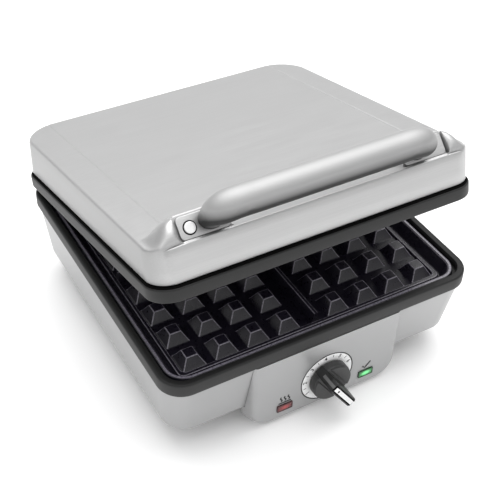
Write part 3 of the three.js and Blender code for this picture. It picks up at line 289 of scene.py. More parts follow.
def piece(name, verts, faces, mats, body, slot, nodes=(), place=BASE, angle=35, tags=None):
    me = raw_mesh(name, verts, faces)
    for m in mats if isinstance(mats, (list, tuple)) else [mats]:
        me.materials.append(m)
    if tags is not None:
        me.polygons.foreach_set("material_index", np.array(tags, np.int32))
    me.validate()
    return dress(me, name, body, nodes, place, angle)


def dress(me, name, body, nodes, place, angle):
    settle(me, place, weld=True)
    smooth(me, angle)
    o = linked(name, me)
    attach(o, body)
    if nodes:
        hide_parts(*nodes)
    return o


def smooth(me, angle):
    me.polygons.foreach_set("use_smooth", np.ones(len(me.polygons), bool))
    me.set_sharp_from_angle(angle=math.radians(angle))


def bake_modifiers(o, angle):
    dg = bpy.context.evaluated_depsgraph_get()
    me = bpy.data.meshes.new_from_object(o.evaluated_get(dg))
    o.modifiers.clear()
    o.data = me
    smooth(me, angle)


def cutter(verts, faces, place):
    me = raw_mesh("cutter", verts, faces)
    settle(me, place)
    return linked("cutter", me)


def carve(o, cutters, angle=35):
    for c in cutters:
        mod = o.modifiers.new("cut", "BOOLEAN")
        mod.operation = "DIFFERENCE"
        mod.solver = "EXACT"
        mod.object = c
    bpy.context.view_layer.update()
    bake_modifiers(o, angle)
    for c in cutters:
        bpy.data.objects.remove(c)


def arc(cx, cy, r, a0, a1, n):
    out = []
    for i in range(n + 1):
        a = math.radians(a0 + (a1 - a0) * i / n)
        out.append((cx + r * math.cos(a), cy + r * math.sin(a)))
    return out


def outline(hw, hd, r, seg):
    """Rounded rectangle, anticlockwise from the rear right corner; always 4 * (seg + 1) points."""
    r = max(r, 0.05)
    pts = []
    for cx, cy, a0 in ((1, 1, 0), (-1, 1, 90), (-1, -1, 180), (1, -1, 270)):
        pts += arc(cx * (hw - r), cy * (hd - r), r, a0, a0 + 90, seg)
    return pts


def rings(levels, loop=False, caps=(False, False)):
    """Joins rings of points, each a list of (x, y, z), into a skin."""
    n = len(levels[0])
    verts = [p for ring in levels for p in ring]
    faces = []
    count = len(levels)
    for i in range(count if loop else count - 1):
        a, b = i * n, ((i + 1) % count) * n
        for j in range(n):
            k = (j + 1) % n
            faces.append((a + j, a + k, b + k, b + j))
    if caps[0]:
        faces.append(tuple(range(n - 1, -1, -1)))
    if caps[1]:
        faces.append(tuple(range((count - 1) * n, count * n)))
    return verts, faces


def level(z, hw, hd, r, seg):
    return [(x, y, z) for x, y in outline(hw, hd, r, seg)]


def sweep_square(profile, half, r):
    """Sweeps a closed profile of (inset, height) round a square of that half width and corner radius."""
    return rings([level(z, half - i, half - i, max(r - i, 0.3), TRIM_SEG) for i, z in profile], loop=True)


def soft_profile(points, radii, n=4):
    """Rounds the corners of a closed polygon of (a, b) points."""
    out = []
    count = len(points)
    for i, p in enumerate(points):
        r = radii[i]
        if r <= 0:
            out.append(p)
            continue
        a, b, c = Vector(points[i - 1]), Vector(p), Vector(points[(i + 1) % count])
        u, v = (a - b).normalized(), (c - b).normalized()
        turn = math.acos(max(-1, min(1, u.dot(v))))
        reach = min(r / math.tan(turn / 2), (a - b).length * 0.48, (c - b).length * 0.48)
        rr = reach * math.tan(turn / 2)
        centre = b + (u + v).normalized() * (rr / math.sin(turn / 2))
        p0, p1 = b + u * reach - centre, b + v * reach - centre
        a0, a1 = math.atan2(p0.y, p0.x), math.atan2(p1.y, p1.x)
        da = (a1 - a0 + math.pi) % (2 * math.pi) - math.pi
        out += [(centre.x + rr * math.cos(a0 + da * k / n), centre.y + rr * math.sin(a0 + da * k / n))
                for k in range(n + 1)]
    return out


def circle(r, z, sides):
    return [(r * math.cos(2 * math.pi * k / sides), r * math.sin(2 * math.pi * k / sides), z)
            for k in range(sides)]


def lathe(profile, sides=48):
    """Turns (radius, height) points about Z and closes both ends."""
    return rings([circle(max(r, 1e-3), h, sides) for r, h in profile], caps=(True, True))


def ring_mesh(profile, sides=96):
    """Turns a closed (radius, height) outline about Z, which leaves the middle open."""
    return rings([circle(r, h, sides) for r, h in profile], loop=True)


def block(x0, x1, y0, y1, z0, z1):
    v = [(x, y, z) for z in (z0, z1) for x, y in ((x0, y0), (x1, y0), (x1, y1), (x0, y1))]
    f = [(0, 3, 2, 1), (4, 5, 6, 7), (0, 1, 5, 4), (1, 2, 6, 5), (2, 3, 7, 6), (3, 0, 4, 7)]
    return v, f


def moved(mesh, matrix):
    v, f = mesh
    return [matrix @ Vector(p) for p in v], f


def joined(*meshes):
    verts, faces = [], []
    for v, f in meshes:
        base = len(verts)
        verts += list(v)
        faces += [tuple(i + base for i in face) for face in f]
    return verts, faces


# ---- hinge notches, shared by the trims and the housing ----
HINGE_X = 95.0
NOTCH_HALF, NOTCH_Y, NOTCH_LOW, NOTCH_HIGH = 13.5, HALF - 6.9, 70.35, 98.0
ARM_HALF = 8.3


def notches():
    return [cutter(*block(s * HINGE_X - NOTCH_HALF, s * HINGE_X + NOTCH_HALF, NOTCH_Y, HALF + 4,
                          NOTCH_LOW, NOTCH_HIGH), BASE) for s in (-1, 1)]


# ---- housing: tapering walls with a rounded lower edge ----
LOW_Z, LOW_W, LOW_D = 28.4, 152.5, 149.65
TOP_W = HALF - 2.3
SHELL_R, SHELL_WALL = 23.0, 2.4


def shell_ring(z, inset=0.0):
    t = (z - LOW_Z) / (HOUSING_TOP - LOW_Z)
    w = LOW_W + (TOP_W - LOW_W) * t - inset
    d = LOW_D + (TOP_W - LOW_D) * t - inset
    return level(z, w, d, SHELL_R - inset, seg=12)


edge = [shell_ring(LOW_Z + 2.4 * math.sin(math.radians(a)), 1.8 * (1 - math.cos(math.radians(a))))
        for a in range(-80, 1, 16)]
outer = edge + [shell_ring(z) for z in (40, 55, 70, HOUSING_TOP)]
inner = [shell_ring(z, SHELL_WALL) for z in (HOUSING_TOP, 55, 30)] + [shell_ring(LOW_Z - 1.8, 3.2)]
housing = piece("housing_shell", *rings(outer + inner, loop=True), SILVER, "base", "silver_paint",
                ["base_housing"])
along_x = Matrix.Translation((RELEASE_X, RELEASE_Y, RELEASE_Z)) @ Matrix.Rotation(math.pi / 2, 4, "Y")
along_y = Matrix.Translation((INLET_X, 155, INLET_Z)) @ Matrix.Rotation(math.pi / 2, 4, "X")
release = cutter(*moved(lathe([(7.4, -20), (7.4, 20)], 40), along_x), BASE)
inlet_hole = cutter(*moved(lathe([(8.3, -14), (8.3, 14)], 40), along_y), BASE)
window = cutter(*block(-70, 70, -165, -140, 20, TRIM_Z - 8), BASE)
carve(housing, notches() + [release, inlet_hole, window])

# ---- base trim ----
TRIM_PROFILE = soft_profile(
    [(0, TRIM_Z), (0, TRIM_Z + TRIM_H), (7, TRIM_Z + TRIM_H), (7, TRIM_Z + 7.2), (10.8, TRIM_Z + 7.2),
     (10.8, TRIM_Z)],
    [1.6, 2.2, 0.8, 0.8, 0.5, 0.3], 4)
base_band = piece("base_band", *sweep_square(TRIM_PROFILE, HALF, CORNER_R), TRIM, "base",
                  "trim_plastic", ["base_trim"])
carve(base_band, notches())

# ---- lid trim, with the upstand that the cover drops over ----
LEDGE = FLIP_Z - 7.2
LID_PROFILE = soft_profile(
    [(0, LID_TRIM_Z), (0, LID_TRIM_TOP), (6.5, LID_TRIM_TOP), (6.5, LID_TRIM_TOP + 6),
     (8.6, LID_TRIM_TOP + 6), (8.6, FLIP_Z + 0.2), (10.8, FLIP_Z), (10.8, LEDGE), (7, LEDGE),
     (7, LID_TRIM_Z)],
    [2.0, 1.6, 0.3, 0.4, 0.3, 0, 0.3, 0.5, 0.5, 0.8], 4)
lid_band = piece("lid_band", *sweep_square(LID_PROFILE, HALF, CORNER_R), TRIM, "lid",
                 "trim_plastic", ["lid_trim"], LID)
carve(lid_band, [cutter(*block(s * HINGE_X - ARM_HALF, s * HINGE_X + ARM_HALF, HALF - 7, HALF + 2,
                               LID_TRIM_Z - 1, LID_TRIM_TOP - 0.7), LID) for s in (-1, 1)])
COVER_LOW = LID_TRIM_TOP + 2.4
# painted shadow: a near-black strip in the seam between the trim and the cover, where there is only a shadow
# gap
SEAM_SHADOW_PROFILE = soft_profile(
    [(1.3, LID_TRIM_TOP - 1.2), (1.3, LID_TRIM_TOP + 0.8), (3.0, LID_TRIM_TOP + 1.0),
     (3.0, COVER_LOW - 0.05), (6.4, COVER_LOW - 0.05), (6.4, LID_TRIM_TOP - 1.2)], [0.2] * 6, 2)
piece("lid_seam_shadow_strip", *sweep_square(SEAM_SHADOW_PROFILE, HALF, CORNER_R), SHADOW_BLACK, "lid",
      "black_plastic", (), LID)

# ---- lid cover: one formed sheet ----
COVER = HALF - 2.7
FRONT_R, REAR_R = 21.0, 33.0
TOP_Z, SLOPE = 66.0, 0.0223
CREASE_X, CREASE_FALL = 128.3, 1.6 / 29.0
BAR_Y, BAR_Z, BAR_R = -142.5, 65.1, 14.5
TIP = math.radians(32)
COS_T, SIN_T = math.cos(TIP), math.sin(TIP)
LUG_X0, LUG_X1, LUG_LOW, LUG_HIGH = 84.0, 128.5, -8.3, 11.4
LUG_FLOOR, LUG_FACE = 5.5, 8.0
BULGE_END, POCKET_X1 = 11.0, 130.0


def step(x, a, b):
    t = np.clip((x - a) / (b - a), 0, 1)
    return t * t * (3 - 2 * t)


def bar_share(ax):
    """How much of the corner bar's rise is left at that distance from the middle."""
    inner = step(ax, LUG_X0 - 1.0, LUG_X0 + 3.0)
    return inner * (1 - step(ax, 133.0, 154.5)) * (1 - 0.13 * step(ax, 126, 136))


def rim_drop(x, y):
    """The rounded edge where the top turns down into the walls."""
    rad = np.where(y > 0, REAR_R, FRONT_R)
    ax, ay = np.abs(x), np.abs(y)
    cx, cy = np.maximum(ax - (COVER - rad), 0), np.maximum(ay - (COVER - rad), 0)
    corner = rad - np.hypot(cx, cy)
    d = np.minimum(np.minimum(COVER - ax, COVER - ay), corner)
    fr = np.where(y < -COVER + 12, 1.6, 2.8)
    inside = np.clip(fr - d, 0, fr)
    return fr - np.sqrt(np.maximum(fr * fr - inside * inside, 0))


def cover_height(x, y):
    """The sheet's height: a sloping top with two side facets, the corner bars and the lugs' pockets."""
    ax = np.abs(x)
    z = TOP_Z + SLOPE * y
    soft = 1.2
    over = ax - CREASE_X
    bend = np.where(over < -soft, 0, (over + soft) ** 2 / (4 * soft))
    z = z - CREASE_FALL * np.where(over > soft, over, bend)
    z = z - 0.42 * np.exp(-((ax - CREASE_X) / 1.0) ** 2)
    z = z - rim_drop(x, y)
    dy = y - BAR_Y
    reach = np.where(dy < 0, dy * BAR_R / 12.4, dy)
    inside = BAR_R * BAR_R - reach * reach
    bar = np.where(inside > 0, BAR_Z + np.sqrt(np.maximum(inside, 0)), BAR_Z - 6)
    k = 2.4 + 1.2 * step(ax, 129, 140)
    rise = bar - z
    rise = np.where(rise > k, rise, np.where(rise < -k, 0, (rise + k) ** 2 / (4 * k)))
    share = bar_share(ax)
    whole = z + rise * share
    groove = step(ax, LUG_X1 - 1, LUG_X1 + 2) * np.sqrt(np.clip(share, 0, 1))
    whole = whole - 1.5 * groove * np.exp(-((y + 154.9) / 0.8) ** 2)
    floor = BAR_Z + (LUG_FLOOR + COS_T * dy) / SIN_T
    lip = BAR_Z + (LUG_LOW - SIN_T * dy) / COS_T
    flush = BAR_Z + (LUG_FACE + COS_T * dy) / SIN_T
    flat = np.minimum(whole, np.maximum(flush, lip + 0.6))
    back = np.clip((POCKET_X1 + BULGE_END - ax) / BULGE_END, 0, 1)
    whole = flat + (whole - flat) * np.sqrt(1 - back * back)
    cut = np.minimum(whole, np.maximum(floor, lip))
    wx = step(ax, LUG_X0 - 1.5, LUG_X0 - 0.3) * (1 - step(ax, POCKET_X1 - 0.6, POCKET_X1 + 0.6))
    return TRIM_Z + whole * (1 - wx) + cut * wx


def plan(x, y):
    """Grid point to plan point: the four corners of the square grid are pulled in to their radii."""
    rad = REAR_R if y > 0 else FRONT_R
    a = COVER - rad
    ax, ay = abs(x), abs(y)
    if ax > a and ay > a:
        p, q = (ax - a) / rad, (ay - a) / rad
        ax, ay = a + rad * p * math.sqrt(1 - q * q / 2), a + rad * q * math.sqrt(1 - p * p / 2)
    return math.copysign(ax, x), math.copysign(ay, y)


def lines(*spans):
    """Grid lines over spans of (from, to, step)."""
    out = []
    for a, b, s in spans:
        n = max(1, round((b - a) / s))
        out += [a + (b - a) * i / n for i in range(n)]
    return out + [spans[-1][1]]


half_x = lines((0, 66, 6), (66, 78, 1), (78, 86, 0.5), (86, 122, 1.5), (122, 131, 0.5), (131, 153, 0.8),
               (153, COVER, 0.6))
xs = [-v for v in reversed(half_x[1:])] + half_x
ys = lines((-COVER, -153, 0.4), (-153, -124, 0.6), (-124, -100, 2), (-100, 120, 8), (120, 150, 2.5),
           (150, COVER, 0.6))
grid = [plan(x, y) for y in ys for x in xs]
gx, gy = np.array([g[0] for g in grid]), np.array([g[1] for g in grid])
gz = cover_height(gx, gy)
nx, ny = len(xs), len(ys)
verts = [(gx[i], gy[i], gz[i]) for i in range(len(grid))]
faces = [(j * nx + i, j * nx + i + 1, (j + 1) * nx + i + 1, (j + 1) * nx + i)
         for j in range(ny - 1) for i in range(nx - 1)]
rim = ([i for i in range(nx)] + [j * nx + nx - 1 for j in range(1, ny)]
       + [(ny - 1) * nx + i for i in range(nx - 2, -1, -1)] + [j * nx for j in range(ny - 2, 0, -1)])


def wall_point(x, y, z, low_t, inset):
    """A point below the rim: the rear corners tighten from their upper to their lower radius."""
    rear = y > 0
    top_r = REAR_R if rear else FRONT_R
    low_r = top_r + (FRONT_R - top_r) * low_t
    a, b = COVER - top_r, COVER - low_r
    ax, ay = abs(x), abs(y)
    cx, cy = min(ax, a), min(ay, a)
    ox, oy = ax - cx, ay - cy
    px = cx * b / a + ox * (low_r - inset) / top_r
    py = cy * b / a + oy * (low_r - inset) / top_r
    return math.copysign(px, x), math.copysign(py, y), z


rows = [rim]
for z, t, inset in ((None, 0.25, 0), (None, 0.6, 0), (COVER_LOW + 0.8, 0.97, 0), (COVER_LOW, 1.0, 0.5),
                    (COVER_LOW, 1.0, 1.4), (COVER_LOW + 6, 0.9, 1.6)):
    row = []
    for i in rim:
        x, y, top = verts[i]
        zz = top + (COVER_LOW - top) * t if z is None else z
        row.append(len(verts))
        verts.append(wall_point(x, y, zz, t, inset))
    rows.append(row)
for a, b in zip(rows, rows[1:]):
    n = len(a)
    faces += [(a[i], a[(i + 1) % n], b[(i + 1) % n], b[i]) for i in range(n)]
piece("lid_shell", verts, faces, STAINLESS, "lid", "stainless", ["lid_cover"], LID, 50)

# ---- lugs, button and grip ----
ON_LUG = LID @ Matrix.Translation((0, BAR_Y, TRIM_Z + BAR_Z)) @ Matrix.Rotation(math.pi / 2 - TIP, 4, "X")
BUTTON_X, BUTTON_UP = -118.5, 0.8
AT_BUTTON = Matrix.Translation((BUTTON_X, BUTTON_UP, 0))


def plate_mesh(x0, x1, y0, y1, r, z0, z1, edge_r):
    """A flat plate with round corners and a softened upper edge."""
    cx, cy, hw, hd = (x0 + x1) / 2, (y0 + y1) / 2, (x1 - x0) / 2, (y1 - y0) / 2
    stack = [(z0, 0.0)]
    for a in (0, 22, 45, 68, 90):
        t = math.radians(a)
        stack.append((z1 - edge_r + edge_r * math.sin(t), edge_r * (1 - math.cos(t))))
    levels = [[(px + cx, py + cy, z) for px, py in outline(hw - i, hd - i, r - i, 8)] for z, i in stack]
    return rings(levels, caps=(True, True))


for s, side in ((-1, "left"), (1, "right")):
    x0, x1 = (LUG_X0 + GAP, LUG_X1 - GAP) if s > 0 else (-LUG_X1 + GAP, -LUG_X0 - GAP)
    lug = piece(f"lug_{side}", *plate_mesh(x0, x1, LUG_LOW + GAP, LUG_HIGH, 4, LUG_FACE - 2.2, LUG_FACE, 0.7),
                LUG_FINISH, "lid", "bright_metal", [f"handle_end_{side}"], ON_LUG)
    if s < 0:
        carve(lug, [cutter(*moved(lathe([(5.95, -10), (5.95, 20)]), AT_BUTTON), ON_LUG)])
# painted shadow: a black collar round the button stands in for the shaded gap
well_wall = [(5.9, 2.6), (5.9, LUG_FACE - 0.2), (4.85, LUG_FACE - 0.2), (4.85, 2.6)]
piece("button_well", *moved(lathe(well_wall), AT_BUTTON), SHADOW_BLACK, "lid", "black_plastic", (), ON_LUG)
cap = [(2, -7), (2, 2.4), (4.8, 2.4)]
cap += arc(4.3, LUG_FACE + 0.8, 0.5, 0, 90, 5)
cap += [(3.0, LUG_FACE + 1.27), (1.5, LUG_FACE + 1.22), (0, LUG_FACE + 1.2)]
piece("upper_button_cap", *moved(lathe(cap), AT_BUTTON), BUTTON, "upper_release", "bright_metal",
      ["upper_release_button"], ON_LUG)

GRIP_R, GRIP_Y, GRIP_Z = 13.2, -165.0, TRIM_Z + 87.0
ROOT_R = 8.8


def grip_lump():
    """A round bar and its two bent ends, later fused and smoothed into one skin."""
    bm = bmesh.new()
    along = Matrix.Rotation(math.pi / 2, 4, "Y")
    bmesh.ops.create_cone(bm, cap_ends=True, segments=64, radius1=GRIP_R, radius2=GRIP_R, depth=148,
                          matrix=Matrix.Translation((0, GRIP_Y, GRIP_Z)) @ along)
    root = Vector((0, BAR_Y, TRIM_Z + BAR_Z)) + Vector((0, SIN_T, COS_T)) * 1.2
    out = Vector((0, GRIP_Y, GRIP_Z)) - root
    reach_out = out.length
    out.normalize()
    for s in (-1, 1):
        path = [(99.0, 7.2), (105.5, reach_out * 1.12), (70.0, reach_out)]
        for k in range(25):
            t = k / 24
            f = ((1 - t) ** 2, 2 * t * (1 - t), t * t)
            x = sum(w * q[0] for w, q in zip(f, path))
            d = sum(w * q[1] for w, q in zip(f, path))
            u = min(1, t / 0.62)
            r = ROOT_R + (GRIP_R - ROOT_R) * u * u * (3 - 2 * u)
            stretch = Matrix.Diagonal((1.3 - 0.3 * u, 1, 1, 1))
            at = Vector((s * x, root.y, root.z)) + out * d
            bmesh.ops.create_uvsphere(bm, u_segments=28, v_segments=18, radius=r,
                                      matrix=Matrix.Translation(at) @ stretch)
    me = bpy.data.meshes.new("grip")
    bm.to_mesh(me)
    bm.free()
    return me


grip_mesh = grip_lump()
grip_mesh.materials.append(GRIP_FINISH)
grip = dress(grip_mesh, "bar_grip", "lid", ["handle_grip"], LID, 60)
mod = grip.modifiers.new("fuse", "REMESH")
mod.mode = "VOXEL"
mod.voxel_size = 0.0011
mod = grip.modifiers.new("smooth", "SMOOTH")
mod.factor = 0.5
mod.iterations = 26
bake_modifiers(grip, 80)
grip.data.materials.clear()
grip.data.materials.append(GRIP_FINISH)

# ---- waffle plates ----
FLOOR, RIM_TOP, UNDER = -1.3, 11.0, -5.3
PITCH, GAP_MID, PEG_BASE, PEG_TOP, PEG_H = 31.6, 21.0, 22.5, 10.8, 10.2


def peg_rows():
    out = []
    for i in range(8):
        side = -1 if i < 4 else 1
        out.append((i - 3.5) * PITCH + side * GAP_MID / 2)
    return out


def casting():
    """The plate face up, heights from the trim's underside. Tag 1 is a painted highlight, a lighter colour on
    the edges.
    """
    verts, faces, tags = [], [], []

    def add(mesh, marks):
        base = len(verts)
        verts.extend(mesh[0])
        for f, mark in zip(mesh[1], marks):
            faces.append(tuple(i + base for i in f))
            tags.append(mark)

    def band(levels, edges, loop=False, caps=(False, False)):
        mesh = rings(levels, loop, caps)
        n = len(levels[0])
        marks = [1 if (k // n) in edges else 0 for k in range(len(mesh[1]))]
        add(mesh, marks)

    seg = 12
    well = [(151, RIM_TOP - 3.5, 20), (151, RIM_TOP - 0.9, 20), (150.7, RIM_TOP - 0.25, 19.7),
            (150, RIM_TOP, 19), (147.9, RIM_TOP, 17), (147.1, RIM_TOP - 0.3, 16.2),
            (146.6, RIM_TOP - 1.1, 15.8), (141.8, FLOOR + 1.6, 11.2), (141.0, FLOOR + 0.5, 10.6),
            (139.8, FLOOR, 9.6)]
    levels = [level(z, h, h, r, seg=seg) for h, z, r in well]
    band(levels, {3, 5}, caps=(False, True))
    under = [(151, RIM_TOP - 3.5, 20), (148.4, RIM_TOP - 3.6, 17), (144, UNDER + 2.3, 13), (141.5, UNDER, 11)]
    band([level(z, h, h, r, seg=seg) for h, z, r in under], set(), caps=(False, True))

    def bank(half_low, half_high, z_low, z_high, r, edge_r, foot):
        """Rings of a square boss: a concave foot, sloping sides and a softened top edge."""
        out = [(half_low + foot, z_low, r + foot),
               (half_low + foot * 0.35, z_low + foot * 0.3, r + foot * 0.35),
               (half_low - (half_low - half_high) * foot / (z_high - z_low), z_low + foot, r)]
        k = edge_r
        slope = (half_low - half_high) / (z_high - z_low)
        out.append((half_high + slope * k, z_high - k, r))
        out.append((half_high + slope * k * 0.25, z_high - k * 0.32, r))
        out.append((half_high - k * 0.35, z_high - k * 0.05, max(r - k * 0.3, 0.3)))
        out.append((half_high - k, z_high, max(r - k * 0.6, 0.3)))
        return out

    spots = peg_rows()
    boss = bank(PEG_BASE / 2, PEG_TOP / 2, FLOOR, FLOOR + PEG_H, 0.8, 0.6, 0.9)
    for cx in spots:
        for cy in spots:
            levels = [[(cx + x, cy + y, z) for x, y in outline(h, h, r, seg=2)] for h, z, r in boss]
            mesh = rings(levels, caps=(False, True))
            n = len(levels[0])
            marks = []
            for k in range(len(mesh[1])):
                ring_no, place = k // n, k % n
                corner = place % 3 != 2 and k < n * (len(levels) - 1)
                marks.append(1 if ring_no in (3, 4, 5) or (corner and ring_no >= 1) else 0)
            add(mesh, marks)

    def wall(points, r_top):
        return soft_profile(points, [0.2, r_top, r_top, 0.2], 3)

    ridge = wall([(HALF - 139.0, FLOOR - 0.4), (HALF - 137.8, FLOOR + 2.4), (HALF - 134.5, FLOOR + 2.4),
                  (HALF - 133.3, FLOOR - 0.4)], 0.8)
    levels = [level(z, HALF - i, HALF - i, 5.5, seg=4) for i, z in ridge]
    mesh = rings(levels, loop=True)
    n = len(levels[0])
    add(mesh, [1 if (k // n) in (4, 5, 6, 8, 9, 10) else 0 for k in range(len(mesh[1]))])

    fence = wall([(-4.5, FLOOR - 0.4), (-1.7, 10.6), (1.7, 10.6), (4.5, FLOOR - 0.4)], 0.7)
    for turn in (0, 1):
        levels = []
        for end in (-134.3, 134.3):
            levels.append([(a, end, b) if turn == 0 else (end, a, b) for a, b in fence])
        mesh = rings(levels, caps=(True, True))
        n = len(fence)
        top = max(b for _, b in fence)
        marks = []
        for f in mesh[1]:
            zs = [mesh[0][i][2] for i in f]
            marks.append(1 if top - 1.2 < min(zs) < top - 0.01 else 0)
        add(mesh, marks)
    return verts, faces, tags


face_up, plate_faces, plate_tags = casting()


def tab(x0, x1, y0, y1):
    """A small block under the plate's edge, where a catch holds it."""
    return block(x0, x1, y0, y1, -13, UNDER + 3)


lower = joined((face_up, plate_faces), tab(140, 144, -103, -89))
upper = joined((face_up, plate_faces), tab(111.5, 125.5, -144, -140))
marks = plate_tags + [0] * 6
piece("lower_waffle_plate", *lower, [COATING, EDGE_HIGHLIGHT], "base", "nonstick", ["lower_plate"],
      BASE @ Matrix.Translation((0, 0, TRIM_Z)), 28, marks)
piece("upper_waffle_plate", *upper, [COATING, EDGE_HIGHLIGHT], "lid", "nonstick", ["upper_plate"],
      LID @ Matrix.Translation((0, 0, FLIP_Z)) @ Matrix.Rotation(math.pi, 4, "Y"), 28, marks)

# ---- control panel ----
PANEL_Y, PANEL_FACE, PANEL_BACK, PANEL_LOW, PANEL_R = -160.0, 75.8, 82.0, 3.6, 19.0
PANEL_DEPTH, PANEL_EDGE_R = 14.0, 3.2
DIAL_Z, DIAL_RECESS_R, LENS_X, LENS_Z = 36.0, 28.2, 44.5, 18.0
LENS_HALF_W, LENS_HALF_H, LENS_R = 8.0, 4.0, 0.9


def panel_ring(y, half, inset):
    low, r = PANEL_LOW + inset, max(PANEL_R - inset, 1)
    w = half - inset
    pts = [(w, HOUSING_TOP), (0, HOUSING_TOP), (-w, HOUSING_TOP)]
    pts += arc(-w + r, low + r, r, 180, 270, 14)
    pts += arc(w - r, low + r, r, 270, 360, 14)
    return [(x, y, z) for x, z in pts]


panel_levels = []
for a in (0, 18, 36, 54, 72, 90):
    depth = PANEL_EDGE_R * (1 - math.cos(math.radians(a)))
    inset = PANEL_EDGE_R * (1 - math.sin(math.radians(a)))
    flare = (PANEL_BACK - PANEL_FACE) * depth / PANEL_DEPTH
    panel_levels.append(panel_ring(PANEL_Y + depth, PANEL_FACE + flare + 0.8, inset))
panel_levels.append(panel_ring(PANEL_Y + PANEL_DEPTH, PANEL_BACK, 0))
panel_levels.append(panel_ring(PANEL_Y + PANEL_DEPTH, PANEL_BACK, 2.4))
panel_levels.append(panel_ring(PANEL_Y + 5, PANEL_FACE + 2, 3.0))
panel = piece("panel_face", *rings(panel_levels, caps=(True, True)), SILVER, "base", "silver_paint",
              ["control_panel"], BASE, 40)
FRONT = Matrix.Rotation(math.pi / 2, 4, "X")  # turns +Z to face the front
shell_tool = rings([shell_ring(z, -0.25) for z in (26.5, 40, 60, TRIM_Z + 3)], caps=(True, True))


def lens_ring(x, y, grow, r):
    return [(x + a, y, LENS_Z + b) for a, b in outline(LENS_HALF_W + grow, LENS_HALF_H + grow, r, 4)]


def lens_hole(x):
    levels = [lens_ring(x, y, 0.15, LENS_R) for y in (PANEL_Y - 2, PANEL_Y + 2.2)]
    return cutter(*rings(levels, caps=(True, True)), BASE)


dial_recess = moved(lathe([(DIAL_RECESS_R, -0.9), (DIAL_RECESS_R, 3)], 96),
                    Matrix.Translation((0, PANEL_Y, DIAL_Z)) @ FRONT)
carve(panel, [cutter(*shell_tool, BASE), cutter(*dial_recess, BASE), lens_hole(-LENS_X), lens_hole(LENS_X)],
      40)


def lens_mesh(x):
    """A window with a domed front, from (distance behind the panel's face, inset)."""
    levels = []
    for y, inset in ((2.2, 0.1), (-0.1, 0.1), (-0.6, 0.35), (-0.85, 0.9), (-0.95, 1.8)):
        levels.append(lens_ring(x, PANEL_Y + y, -inset, max(LENS_R - inset, 0.2)))
    return rings(levels, caps=(True, True))


piece("red_window_lens", *lens_mesh(-LENS_X), RED, "base", "red_lens", ["red_lens"])
piece("green_window_lens", *lens_mesh(LENS_X), GREEN, "base", "green_lens", ["green_lens"])
for x, colour, edge_finish in ((-LENS_X, "red", RED_EDGE), (LENS_X, "green", GREEN_EDGE)):
    rim_levels = []
    for y, grow in ((1, 0.15), (-1, 0.15), (-1, -0.75), (1, -0.75)):
        rim_levels.append(lens_ring(x, PANEL_Y + y, grow, LENS_R + grow * 0.5))
    piece(f"{colour}_window_frame", *rings(rim_levels, loop=True), edge_finish, "base", "black_plastic")

# ---- dial ring with its scale ----
RING_OUT = 27.1
ring_profile = [(8, -0.6), (8, 0.05), (20.6, 0.05), (21.0, 0.2), (RING_OUT - 0.9, 0.2),
                (RING_OUT - 0.4, 0.05), (RING_OUT, -0.25), (RING_OUT, -0.6)]
outline_profile = [(RING_OUT + 0.02, -0.7), (RING_OUT + 0.02, 0.12), (RING_OUT + 0.95, 0.12),
                   (RING_OUT + 0.95, -0.7)]
ON_DIAL = BASE @ Matrix.Translation((0, PANEL_Y, DIAL_Z)) @ FRONT
piece("dial_ring", *ring_mesh(ring_profile), DIAL, "base", "dial_face", ["dial_scale"], ON_DIAL)
piece("dial_outline", *ring_mesh(outline_profile), PRINT, "base", "black_plastic", (), ON_DIAL)


def text_mesh(body_text, size):
    curve = bpy.data.curves.new("figure", "FONT")
    curve.body = body_text
    curve.size = size
    curve.align_x = "CENTER"
    curve.align_y = "CENTER"
    curve.extrude = 0.04
    curve.offset = 0.14
    holder = linked("figure", curve)
    bpy.context.view_layer.update()
    me = bpy.data.meshes.new_from_object(holder.evaluated_get(bpy.context.evaluated_depsgraph_get()))
    bpy.data.objects.remove(holder)
    verts = [v.co.copy() for v in me.vertices]
    faces = [tuple(p.vertices) for p in me.polygons]
    bpy.data.meshes.remove(me)
    return verts, faces


SCALE_START, SCALE_STEP, FIGURES = 212.0, -38.0, 6  # degrees from +X seen from the front
scale_marks = []
for i in range(FIGURES):
    a = SCALE_START + SCALE_STEP * i
    at = Matrix.Rotation(math.radians(a), 4, "Z") @ Matrix.Translation((23.9, 0, 0.24))
    upright = at @ Matrix.Rotation(math.radians(-90), 4, "Z")
    scale_marks.append(moved(text_mesh(str(i + 1), 5.6), upright))
    if i < FIGURES - 1:
        at = Matrix.Rotation(math.radians(a + SCALE_STEP / 2), 4, "Z")
        scale_marks.append(moved(block(22.8, 25.8, -0.3, 0.3, 0.19, 0.27), at))
piece("dial_figures", *joined(*scale_marks), PRINT, "base", "black_plastic", (), ON_DIAL, 20)


# ---- simple signs over the windows: rising heat, and a tick ----
def ribbon(points, width):
    """A flat printed stroke along a line of points."""
    verts, faces = [], []
    n = len(points)
    for i, p in enumerate(points):
        a, b = Vector(points[max(i - 1, 0)]), Vector(points[min(i + 1, n - 1)])
        d = (b - a).normalized()
        q = Vector((-d.y, d.x)) * (width / 2)
        for sign in (1, -1):
            for z in (0.0, 0.1):
                verts.append((p[0] + sign * q.x, p[1] + sign * q.y, z))
    for i in range(n - 1):
        a, b = i * 4, (i + 1) * 4
        faces += [(a + 1, a + 3, b + 3, b + 1), (a, b, b + 2, a + 2), (a, a + 1, b + 1, b),
                  (a + 2, b + 2, b + 3, a + 3)]
    faces += [(0, 2, 3, 1), ((n - 1) * 4, (n - 1) * 4 + 1, (n - 1) * 4 + 3, (n - 1) * 4 + 2)]
    return verts, faces


